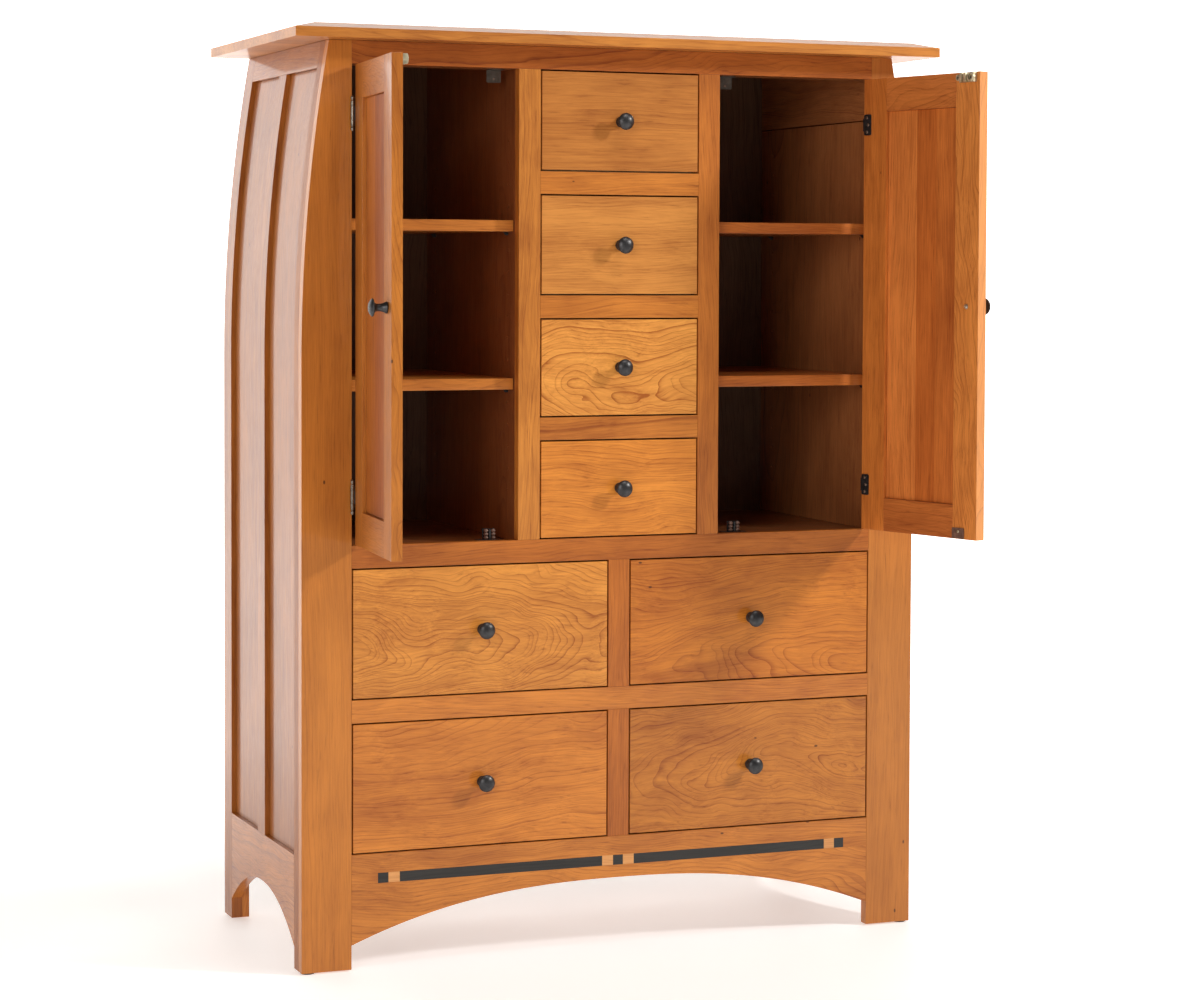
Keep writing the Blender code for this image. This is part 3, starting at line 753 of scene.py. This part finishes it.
def add_shelf_pins(name, side, under):
    """Four spoon pins: a peg in the wall and a flat tab under the shelf."""
    work = bmesh.new()
    for face, inward in ((DIVIDER_OUTER, 1), (LINER_FACE, -1)):
        for y in PIN_ROWS:
            x = side * face
            step = side * inward
            tab = sorted((x + step * 0.0004, x + step * 0.0090))
            add_eased_block(work, (tab[0], y - 0.004, under - 0.0016),
                            (tab[1], y + 0.004, under - 0.0003), 0.0004)
            turn = Matrix.Rotation(step * math.pi / 2, 4, "Y")
            peg = ((0, 0), (0, 0.0022), (0.0100, 0.0022), (0.0110, 0.0016), (0.0110, 0))
            place = at(x - step * 0.0060, y, under - 0.0036) @ turn
            add_lathe(work, peg, place, 16)
            gusset = [(x + step * 0.0004, under - 0.0062), (x + step * 0.0052, under - 0.0062),
                      (x + step * 0.0088, under - 0.0015), (x + step * 0.0004, under - 0.0015)]
            add_sweep(work, gusset, y - 0.0008, y + 0.0008, 1)
    add_piece(name, work, bronze)


def build_apron():
    """Arched apron with its inlay let into a groove."""
    half = POST_INNER - FIT / 2
    work = bmesh.new()
    outline = arch_outline(-half, half, APRON_TOP, *APRON_ARCH, 72)
    add_sweep(work, outline, 0.0, BOARD_FRONT, 1)
    ease(work, 0.0006)
    apron = add_wood("apron_board", work, CASE_TONE, "X", 110, 0.6, (0, 0, 0.14), "Y",
                     stands_for="apron")
    groove = bmesh.new()
    add_block(groove, (-half - 0.01, -0.01, INLAY_Z[0]), (half + 0.01, INLAY_DEPTH, INLAY_Z[1]))
    carve(apron, groove)
    play, joint = 0.0001, 0.00005

    def inlay(name, ends, seed, tone):
        board("inlay_" + name, (ends[0], play, INLAY_Z[0] + play),
              (ends[1], INLAY_DEPTH - play, INLAY_Z[1] - play), "X", seed, tone=tone,
              edge=0.0001)

    runs = (
        ("light_strip", 0.4490, half, CASE_TONE), ("dark_outer", 0.4300, 0.4490, EBONY_TONE),
        ("light_outer", 0.4093, 0.4300, TAN_TONE), ("dark_strip", 0.0305, 0.4093, EBONY_TONE),
        ("light_inner", 0.0095, 0.0305, TAN_TONE),
    )
    for word, side in SIDES:
        for number, (name, near, far, tone) in enumerate(runs):
            inlay(f"{name}_{word}", (side * (near + joint), side * (far - joint)),
                  112 + number + 6 * (side > 0), tone)
    middle = runs[-1][1] - joint
    inlay("dark_middle", (-middle, middle), 124, EBONY_TONE)


def build_glides():
    """Nylon glide pressed under each leg."""
    top = GLIDE - 0.0001
    profile = ((0.0, 0.0), (0.0, 0.0112), (0.0006, 0.0122), (top, 0.0125), (top, 0.0))
    for word, side in SIDES:
        for place, x, y in (("front", 0.5720, 0.0135), ("rear", 0.5690, 0.4950)):
            work = bmesh.new()
            add_lathe(work, profile, at(side * x, y, 0), 32)
            add_piece(f"glide_{place}_{word}", work, shaded_nylon)


# ---- knobs
KNOB_PROFILE = (
    (0.0000, 0.0000), (0.0000, 0.0094), (0.0008, 0.0099), (0.0024, 0.0099), (0.0038, 0.0092),
    (0.0062, 0.0079), (0.0092, 0.0069), (0.0124, 0.0063), (0.0154, 0.0061), (0.0182, 0.0064),
    (0.0204, 0.0074), (0.0218, 0.0092), (0.0228, 0.0118), (0.0234, 0.0142), (0.0240, 0.0150),
    (0.0247, 0.0151), (0.0256, 0.0148), (0.0268, 0.0138), (0.0282, 0.0122), (0.0296, 0.0100),
    (0.0308, 0.0072), (0.0316, 0.0040), (0.0319, 0.0000),
)
TOWARDS_FRONT = Matrix.Rotation(math.pi / 2, 4, "X")
TOWARDS_BACK = Matrix.Rotation(-math.pi / 2, 4, "X")


def add_knob(name, centre, body, place, node):
    """Turned mushroom knob with its base at centre, pointing to the front."""
    work = bmesh.new()
    seat = Vector(centre) + Vector((0, -FIT, 0))
    add_lathe(work, KNOB_PROFILE, Matrix.Translation(seat) @ TOWARDS_FRONT, 48)
    add_piece(name, work, bronze, body, place, node, smooth=60, turned=True)


def add_knob_screw(name, centre, body, place):
    """Pan head and washer of the knob's screw, facing the back."""
    work = bmesh.new()
    washer = ((0.0, 0.0), (0.0, 0.0050), (0.0006, 0.0050), (0.0008, 0.0048), (0.0008, 0.0))
    seat = Matrix.Translation(Vector(centre) + Vector((0, FIT, 0))) @ TOWARDS_BACK
    add_lathe(work, washer, seat, 24)
    add_screw(work, seat @ at(0, 0, 0.0009), 0.0036, 0.0018)
    add_piece(name, work, steel, body, place)


# ---- drawers
def dovetailed_side(y_low, y_high, z_low, z_high, tails):
    """Outline in y-z of a side board with tails at both ends, and of the pins between them.

    The pins' outlines are given from the joint's outer face inwards.
    """
    pitch = (z_high - z_low) / tails
    root, tip = pitch * 0.30, pitch * 0.40
    thick = DRAWER_WALL

    def edge(end, shoulder):
        """One end of the board, upwards."""
        points = [(shoulder, z_low)]
        for n in range(tails):
            middle = z_low + pitch * (n + 0.5)
            points += [(shoulder, middle - root), (end, middle - tip), (end, middle + tip),
                       (shoulder, middle + root)]
        return points + [(shoulder, z_high)]

    outline = edge(y_low, y_low + thick) + edge(y_high, y_high - thick)[::-1]
    gap = 0.00008
    spans = [(z_low, z_low, z_low + pitch / 2 - tip, z_low + pitch / 2 - root)]
    for n in range(tails - 1):
        low, high = z_low + pitch * (n + 0.5), z_low + pitch * (n + 1.5)
        spans.append((low + tip, low + root, high - tip, high - root))
    top = z_high - pitch / 2
    spans.append((top + tip, top + root, z_high, z_high))
    pins = [[(0.0, tip_low + gap), (thick, root_low + gap),
             (thick, root_high - gap), (0.0, tip_high - gap)]
            for tip_low, root_low, tip_high, root_high in spans]
    return outline, pins


def build_drawer(name, seed, figure, tint):
    """Slab front, dovetailed box, bottom, knob and knob screw."""
    front_low, front_high = case_box(name + "_front")
    low, high = case_box(name + "_box")
    trim = Vector((0.0007, 0, 0.0007))
    board(name + "_slab", front_low + trim, front_high - trim, "X", seed, FRONT_TONE,
          body=name, stands_for=name + "_front", figure=figure, tint=tint)
    thick = DRAWER_WALL
    tails = 5 if high.z - low.z > 0.18 else 4         # the deeper boxes have one more
    outline, pins = dovetailed_side(low.y, high.y, low.z, high.z, tails)
    for word, x in (("left", low.x), ("right", high.x - thick)):
        work = bmesh.new()
        add_sweep(work, outline, x, x + thick, 0)
        ease(work, 0.0003, 1)
        add_wood(f"{name}_side_{word}", work, MAPLE_TONE, "Y", seed, 0.3, (x, 0.25, low.z), "X",
                 body=name, stands_for=name + "_box" if word == "left" else None)
    inner = (low.x + thick + FIT / 2, high.x - thick - FIT / 2)
    for word, start, sense in (("sub_front", low.y, 1), ("back", high.y, -1)):
        work = bmesh.new()
        add_block(work, (inner[0], min(start, start + sense * thick), low.z),
                  (inner[1], max(start, start + sense * thick), high.z))
        for x in (low.x, high.x - thick):
            for pin in pins:
                shape = [(start + sense * y, z) for y, z in pin]
                begin = x if x == low.x else x - FIT / 2
                add_sweep(work, shape, begin, begin + thick + FIT / 2, 0)
        add_wood(f"{name}_{word}", work, MAPLE_TONE, "X", seed + 1, 0.3, (0, start, low.z), "Y",
                 body=name)
    board(f"{name}_bottom", (inner[0], low.y + thick, low.z + 0.002),
          (inner[1], high.y - thick, low.z + 0.008), "X", seed + 2, MAPLE_TONE, 0.0002,
          body=name)
    centre = (front_low + front_high) / 2
    add_knob(name + "_pull", (centre.x, front_low.y, centre.z), name, CASE, name + "_knob")
    add_knob_screw(name + "_pull_screw", (centre.x, low.y + thick, centre.z), name, CASE)


def build_drawers():
    """All the drawers, each front with its own figure and tint."""
    centre = (
        (1, 0.15, (0.74, 0.69, 0.74)), (2, 0.25, (0.86, 0.86, 0.98)),
        (3, 0.92, (1.17, 1.26, 1.36)), (4, 0.55, (1.02, 0.91, 0.70)),
    )
    for number, figure, tint in centre:
        build_drawer(f"centre_drawer_{number}", 130 + number, figure, tint)
    wide = (
        ("left_upper", 0.95, (1.00, 0.98, 0.89)), ("right_upper", 0.70, (0.89, 0.73, 0.47)),
        ("left_lower", 0.55, (0.92, 0.78, 0.61)), ("right_lower", 1.0, (0.78, 0.68, 0.53)),
    )
    for number, (place, figure, tint) in enumerate(wide):
        build_drawer("wide_drawer_" + place, 136 + number, figure, tint)


# ---- doors
def rounded_leaf(x_near, x_far, half, radius, both=False):
    """Outline in x-z of a plate whose far corners, or all of them, are rounded."""
    sense = 1 if x_far > x_near else -1

    def corner(x, z, first):
        angles = [math.radians(first + 90 * n / 5) for n in range(6)]
        return [(x + sense * radius * math.cos(a), z + radius * math.sin(a)) for a in angles]

    low, high = -half + radius, half - radius
    near, far = x_near + sense * radius, x_far - sense * radius
    outline = [(x_near, half), (x_near, -half)]
    if both:
        outline = corner(near, high, 90) + corner(near, low, 180)
    return outline + corner(far, low, -90) + corner(far, high, 0)


def build_hinge(word, place_word, side, height, door_place, case_place):
    """Door leaf, case leaf, pin and screws of one butt hinge, round its pin."""
    body = "door_" + word
    towards = -side                                   # from the pin to the door
    door_edge = PIN_X - POST_INNER + REVEAL
    inner_face = DOOR_THICK - PIN_Y
    barrel, knuckle, tall = 0.0034, 0.0115, 0.019
    up = at(0, 0, height)
    door_matrix, case_matrix = door_place @ up, case_place @ up

    def finish(name, work, metal, place=case_matrix, body="case", stands_for=None):
        add_piece(f"{name}_{word}_{place_word}", work, metal, body, place, stands_for)

    def knuckle_ring(low, high):
        return ((low, 0.0), (low, barrel - 0.0003), (low + 0.0003, barrel),
                (high - 0.0003, barrel), (high, barrel - 0.0003), (high, 0.0))

    # the door's leaf lies on the inner face, and its neck wraps the edge to the knuckle
    work = bmesh.new()
    leaf = rounded_leaf(towards * (door_edge + 0.0018), towards * (door_edge + 0.0200), tall,
                        0.0035, both=True)
    add_sweep(work, leaf, inner_face + FIT, inner_face + 0.0019, 1)
    neck = sorted((towards * (door_edge - 0.0009), towards * (door_edge - FIT)))
    add_block(work, (neck[0], barrel * 0.6, -knuckle), (neck[1], inner_face + 0.0019, knuckle))
    bridge = sorted((towards * (door_edge - 0.0008), towards * (door_edge + 0.0024)))
    add_block(work, (bridge[0], inner_face + FIT, -knuckle),
              (bridge[1], inner_face + 0.0018, knuckle))
    finish("leaf_door", work, bronze, door_matrix, body, f"hinge_{word}_{place_word}")
    work = bmesh.new()
    add_lathe(work, knuckle_ring(-knuckle, knuckle), Matrix(), 28)
    finish("knuckle_door", work, barrel_metal, door_matrix, body)

    # the case's leaf lies on the post's inner edge and carries the outer knuckles
    work = bmesh.new()
    post = side * (PIN_X - POST_INNER)                # the post's inner edge, from the pin
    plate = sorted((-post + towards * 0.0001, -post + towards * 0.0009))
    add_block(work, (plate[0], barrel * 0.6, -tall), (plate[1], 0.0215, tall))
    finish("leaf_case", work, bronze)
    work = bmesh.new()
    for low, high in ((-tall, -knuckle - 0.0001), (knuckle + 0.0001, tall)):
        add_lathe(work, knuckle_ring(low, high), Matrix(), 28)
    finish("knuckles_case", work, barrel_metal)

    # turned tips of the pin, above and below
    work = bmesh.new()
    tip = [(tall + along, radius) for along, radius in (
        (0.0001, 0.0), (0.0001, 0.0030), (0.0020, 0.0031), (0.0030, 0.0022), (0.0040, 0.0020),
        (0.0056, 0.0029), (0.0076, 0.0032), (0.0096, 0.0026), (0.0112, 0.0012), (0.0117, 0.0),
    )]
    for turn in (Matrix(), Matrix.Rotation(math.pi, 4, "X")):
        add_lathe(work, tip, turn, 24)
    finish("hinge_pin", work, barrel_metal)

    work = bmesh.new()
    for z, reach in ((-0.0130, 0.0095), (0.0, 0.0125), (0.0130, 0.0095)):
        spot = at(towards * (door_edge + reach), inner_face + 0.0017, z)
        add_screw(work, spot @ TOWARDS_BACK, 0.0030, 0.0012)
    finish("leaf_screws", work, screw_metal, door_matrix, body)


def build_catches(word, side, door_place):
    """Upper catch and lower strike on the door, with their partners in the case."""
    body = "door_" + word
    inner_face = DOOR_THICK - PIN_Y

    def across(x):
        return -side * (PIN_X - x)

    def on_door(name, work, metal):
        add_piece(f"{name}_{word}", work, metal, body, door_place)

    def block(work, xs, ys, zs, edge):
        """A block across |x| xs on the closed door, with eased edges."""
        ends = sorted(across(x) for x in xs)
        add_eased_block(work, (ends[0], ys[0], zs[0]), (ends[1], ys[1], zs[1]), edge)

    # upper catch: ribbed body and a round nose with a screw in it
    y0 = inner_face + FIT
    foot, head = 1.5440, 1.5610
    work = bmesh.new()
    block(work, (0.2010, 0.2440), (y0, y0 + 0.0020), (foot, head), 0.0004)
    for near, far, deep in ((0.2205, 0.2275, 0.0098), (0.2305, 0.2365, 0.0092)):
        block(work, (near, far), (y0 + 0.0010, y0 + deep), (foot + 0.0004, head - 0.0004),
              0.0010)
    block(work, (0.2215, 0.2355), (y0 + 0.0010, y0 + 0.0042), (foot + 0.0012, head - 0.0012),
          0.0005)
    block(work, (0.2010, 0.2042), (y0 + 0.0010, y0 + 0.0090), (foot, head), 0.0006)
    nose = ((0.0, 0.0), (0.0, 0.0084), (0.0082, 0.0084), (0.0096, 0.0072), (0.0096, 0.0046),
            (0.0060, 0.0040), (0.0060, 0.0))
    middle = (foot + head) / 2
    add_lathe(work, nose, at(across(0.2090), y0 + 0.001, middle) @ TOWARDS_BACK, 32)
    tail = ((0.0, 0.0), (0.0, 0.0056), (0.0060, 0.0056), (0.0068, 0.0048), (0.0068, 0.0030),
            (0.0048, 0.0026), (0.0048, 0.0))
    add_lathe(work, tail, at(across(0.2420), y0 + 0.001, middle) @ TOWARDS_BACK, 28)
    on_door("catch", work, nickel)
    work = bmesh.new()
    for x, lift, size in ((0.2090, 0.0072, 0.0030), (0.2420, 0.0060, 0.0021)):
        add_screw(work, at(across(x), y0 + lift, middle) @ TOWARDS_BACK, size)
    on_door("catch_screws", work, pewter)

    # lower strike: thin plate at the door's bottom edge, with its screw
    work = bmesh.new()
    plate = rounded_leaf(0.7410, 0.7600, 0.0150, 0.0030)
    outline = [(across(0.2390) + reach, z) for z, reach in plate]
    add_sweep(work, outline, y0, y0 + 0.0012, 1)
    on_door("strike", work, strike_metal)
    work = bmesh.new()
    add_screw(work, at(across(0.2390), y0 + 0.0012, 0.7535) @ TOWARDS_BACK)
    on_door("strike_screw", work, nickel)

    # plate under the case's top that the upper catch grips
    work = bmesh.new()
    plate = rounded_leaf(TOP_RAIL_BOTTOM - FIT, 1.5410, 0.0135, 0.0030)
    outline = [(side * 0.2225 + reach, z) for z, reach in plate]
    add_sweep(work, outline, 0.0468, 0.0480, 1)
    ends = sorted((side * 0.2090, side * 0.2360))
    add_block(work, (ends[0], 0.0300, TOP_RAIL_BOTTOM - 0.0015),
              (ends[1], 0.0479, TOP_RAIL_BOTTOM - FIT))
    add_piece(f"catch_plate_{word}", work, pewter)
    work = bmesh.new()
    add_screw(work, at(side * 0.2225, 0.0468, 1.5475) @ TOWARDS_FRONT, 0.0020, 0.0007)
    add_piece(f"catch_plate_screw_{word}", work, screw_metal)

    # double roller catch on the cupboard floor
    work = bmesh.new()
    for ends, ys, zs in (
        ((0.2125, 0.2595), (0.0218, 0.0390), (FLOOR_TOP + FIT, FLOOR_TOP + 0.0045)),
        ((0.2245, 0.2475), (0.0315, 0.0335), (FLOOR_TOP + 0.0030, FLOOR_TOP + 0.0235)),
        ((0.2345, 0.2375), (0.0235, 0.0325), (FLOOR_TOP + 0.0030, FLOOR_TOP + 0.0225)),
    ):
        low, high = sorted(side * x for x in ends)
        add_block(work, (low, ys[0], zs[0]), (high, ys[1], zs[1]))
    ease(work, 0.0003)
    add_piece(f"roller_frame_{word}", work, bronze)
    work = bmesh.new()
    waist, bulge, tall, beads, steps = 0.0024, 0.0044, 0.0185, 3, 24
    roller = [(0.0, 0.0)]
    for n in range(steps + 1):
        swell = abs(math.sin(beads * math.pi * n / steps))
        roller.append((tall * n / steps, waist + (bulge - waist) * swell))
    roller.append((tall, 0.0))
    for x in (0.2293, 0.2427):
        add_lathe(work, roller, at(side * x, 0.0262, FLOOR_TOP + 0.0046), 24)
    add_piece(f"rollers_{word}", work, strike_metal)


def build_door(word, side):
    """Frame, panel strips, knob, hinges and catches of one door, open by its rest angle."""
    joints = {joint["name"]: joint for joint in frame["record"]["behaviour"]["joints"]}
    joint = joints[f"door_{word}_hinge"]
    pin = Vector((joint["pos_m"][0], joint["pos_m"][1], 0))
    rest = -joint["range_deg"][0]
    case_place = Matrix.Translation(pin)
    place = case_place @ Matrix.Rotation(side * math.radians(rest), 4, "Z")
    body = "door_" + word
    tag = 151 if side < 0 else 161
    hinge_x = -side * (PIN_X - POST_INNER + REVEAL)
    free_x = -side * (PIN_X - DIVIDER_OUTER - REVEAL)
    near_x, far_x = hinge_x - side * DOOR_BORDER, free_x + side * DOOR_BORDER
    face, inside = -PIN_Y, DOOR_THICK - PIN_Y
    low, high = DOOR_LOW, DOOR_HIGH
    seam = 0.0001
    tint = deeper(0.90 if side < 0 else 1.24)
    if side < 0:
        stile_tints, rail_tint, panel = (PLAIN, PLAIN), (0.95, 0.90, 0.85), (0.86, 0.79, 0.68)
    else:
        stile_tints, rail_tint = ((0.93, 0.78, 0.76), (1.08, 1.05, 1.20)), (0.83, 0.69, 0.80)
        panel = (0.97, 0.90, 1.12)
    common = dict(body=body, place=place, edge=0.0006)

    def toned(share):
        return tuple(a * b for a, b in zip(tint, share))

    board(f"door_stile_hinge_{word}", (hinge_x, face, low), (near_x, inside, high), "Z", tag,
          stands_for=f"door_{word}_frame", tint=toned(stile_tints[0]), **common)
    # painted highlight: on the right door the free stile's outer edge turns pale, where the light
    # catches it
    board(f"door_stile_free_{word}", (far_x, face, low), (free_x, inside, high), "Z", tag + 1,
          figure=0.65, tint=toned(stile_tints[1]),
          sap=-DOOR_BORDER / 2 + 0.0009 if side > 0 else None, **common)
    inner = (near_x - side * seam, far_x + side * seam)
    board(f"door_rail_bottom_{word}", (inner[0], face, low),
          (inner[1], inside, low + DOOR_BORDER), "X", tag + 2, figure=0.50,
          tint=toned(rail_tint), **common)
    board(f"door_rail_top_{word}", (inner[0], face, high - DOOR_BORDER),
          (inner[1], inside, high), "X", tag + 3, figure=0.75, tint=toned(rail_tint), **common)

    # the panel floats in its groove: three glued strips, with tongues under the frame
    float_gap = -side * 0.0007
    edges = [inner[0] + float_gap + (inner[1] - inner[0] - 2 * float_gap) * share
             for share in (0.0, 0.42, 0.70, 1.0)]
    strips = ((1.10, 1.02, 0.95), (0.86, 0.68, 0.55), (0.92, 0.78, 0.66))
    glue_line = side * 0.00003
    ends = [near_x - side * 0.00004, edges[1], edges[2], far_x + side * 0.00004 - glue_line]
    for number in range(3):
        node = f"door_{word}_panel" if number == 0 else None
        tongue = ((ends[number], face + 0.0085, low + DOOR_BORDER + 0.00004),
                  (ends[number + 1] + glue_line, face + 0.0115, high - DOOR_BORDER - 0.00004))
        board(f"door_board_{word}_{number + 1}",
              (edges[number], face + 0.007, low + DOOR_BORDER + 0.0008),
              (edges[number + 1] + glue_line, face + 0.013, high - DOOR_BORDER - 0.0008),
              "Z", tag + 4 + number, PANEL_TONE, 0.0001, (0.30, 0.10, 0.20)[number], tongue,
              tint=toned([a * b for a, b in zip(panel, strips[number])]),
              coat=0.06 if side < 0 else COAT, stands_for=node, body=body, place=place)
    knob_x = free_x + side * KNOB_INSET
    middle = (low + high) / 2
    add_knob(f"door_pull_{word}", (knob_x, face, middle), body, place, f"door_{word}_knob")
    add_knob_screw(f"door_pull_screw_{word}", (knob_x, inside, middle), body, place)
    for place_word, height in zip(("lower", "upper"), HINGE_HEIGHTS):
        build_hinge(word, place_word, side, height, place, case_place)
    build_catches(word, side, place)


# ---- stage
# the paper glows more towards the wall, and on the left
NEAR_GLOW, FAR_GLOW, LEFT_GLOW = 0.46, 1.5, 0.12


def build_stage():
    """Pale floor that curves up behind, soft lights and the camera."""
    work = bmesh.new()
    reach, bend, back, height = 16.0, 1.6, 6.8, 8.0
    profile = [(-16.0, 0.0), (1.0, 0.0)]
    for n in range(13):
        angle = math.pi / 2 * n / 12
        profile.append((back + bend * math.sin(angle), bend - bend * math.cos(angle)))
    profile.append((back + bend, height))
    rows = [[work.verts.new((x, y, z)) for y, z in profile] for x in (-reach, reach)]
    for n in range(len(profile) - 1):
        work.faces.new((rows[0][n], rows[1][n], rows[1][n + 1], rows[0][n + 1]))
    mesh = new_mesh("studio_floor", work)
    mesh.shade_smooth()
    n = Nodes("studio_paper")
    where = n.add("ShaderNodeSeparateXYZ", Vector=n.add("ShaderNodeTexCoord").outputs["Object"])
    glow = n.math("ADD", n.range(where.outputs["Y"], 0.7, 2.4, NEAR_GLOW, FAR_GLOW),
                  n.range(where.outputs["X"], -0.80, -0.40, LEFT_GLOW, 0.0))
    mesh.materials.append(plain(n, (0.79, 0.83, 0.86), 0.55, 0.65, 3.0, Emission_Strength=glow,
                                Emission_Color=(1.0, 0.925, 0.870, 1.0)))
    new_object("studio_floor", mesh)

    world = bpy.data.worlds.new("studio")
    world.use_nodes = True
    sky = world.node_tree.nodes["Background"].inputs
    sky["Color"].default_value = (1.0, 0.97, 0.95, 1.0)
    sky["Strength"].default_value = 0.10
    bpy.context.scene.world = world
    bpy.context.scene.view_settings.view_transform = "Standard"

    aim = Vector((0, FRONT + 0.1, 0.95))
    lights = (
        ("key", (3.85, -2.80, 3.38), (0.60, 0.60), 172.0, (1.0, 0.965, 0.92)),
        ("top_front", (0.6, -1.9, 4.3), (1.6, 0.9), 34.0, (1.0, 0.97, 0.94)),
        ("left_front", (-2.7, -3.3, 1.9), (1.3, 1.8), 46.0, (1.0, 0.96, 0.93)),
    )
    for name, spot, size, power, colour in lights:
        lamp = bpy.data.lights.new(name, "AREA")
        lamp.shape, lamp.size, lamp.size_y = "RECTANGLE", *size
        lamp.energy, lamp.color = power, colour
        holder = new_object(name, lamp)
        holder.location = spot
        holder.rotation_euler = (aim - Vector(spot)).to_track_quat("-Z", "Y").to_euler()

    camera = bpy.data.cameras.new("camera")
    camera.lens, camera.sensor_width = 88.13, 36.0
    camera.shift_y = -0.0946
    camera.clip_end = 60.0
    holder = new_object("camera", camera)
    yaw, pitch, roll = math.radians(21.84), math.radians(-2.29), math.radians(0.21)
    holder.matrix_world = (
        at(-1.974, FRONT - 4.8305, 1.2147)
        @ Matrix.Rotation(-yaw, 4, "Z")
        @ Matrix.Rotation(math.pi / 2 + pitch, 4, "X")
        @ Matrix.Rotation(roll, 4, "Z")
    )
    bpy.context.scene.camera = holder


build_slab()
build_posts()
build_sides()
build_front_frame()
build_inside()
build_apron()
build_glides()
build_drawers()
for door_word, door_side in SIDES:
    build_door(door_word, door_side)
settle_normals()
build_stage()
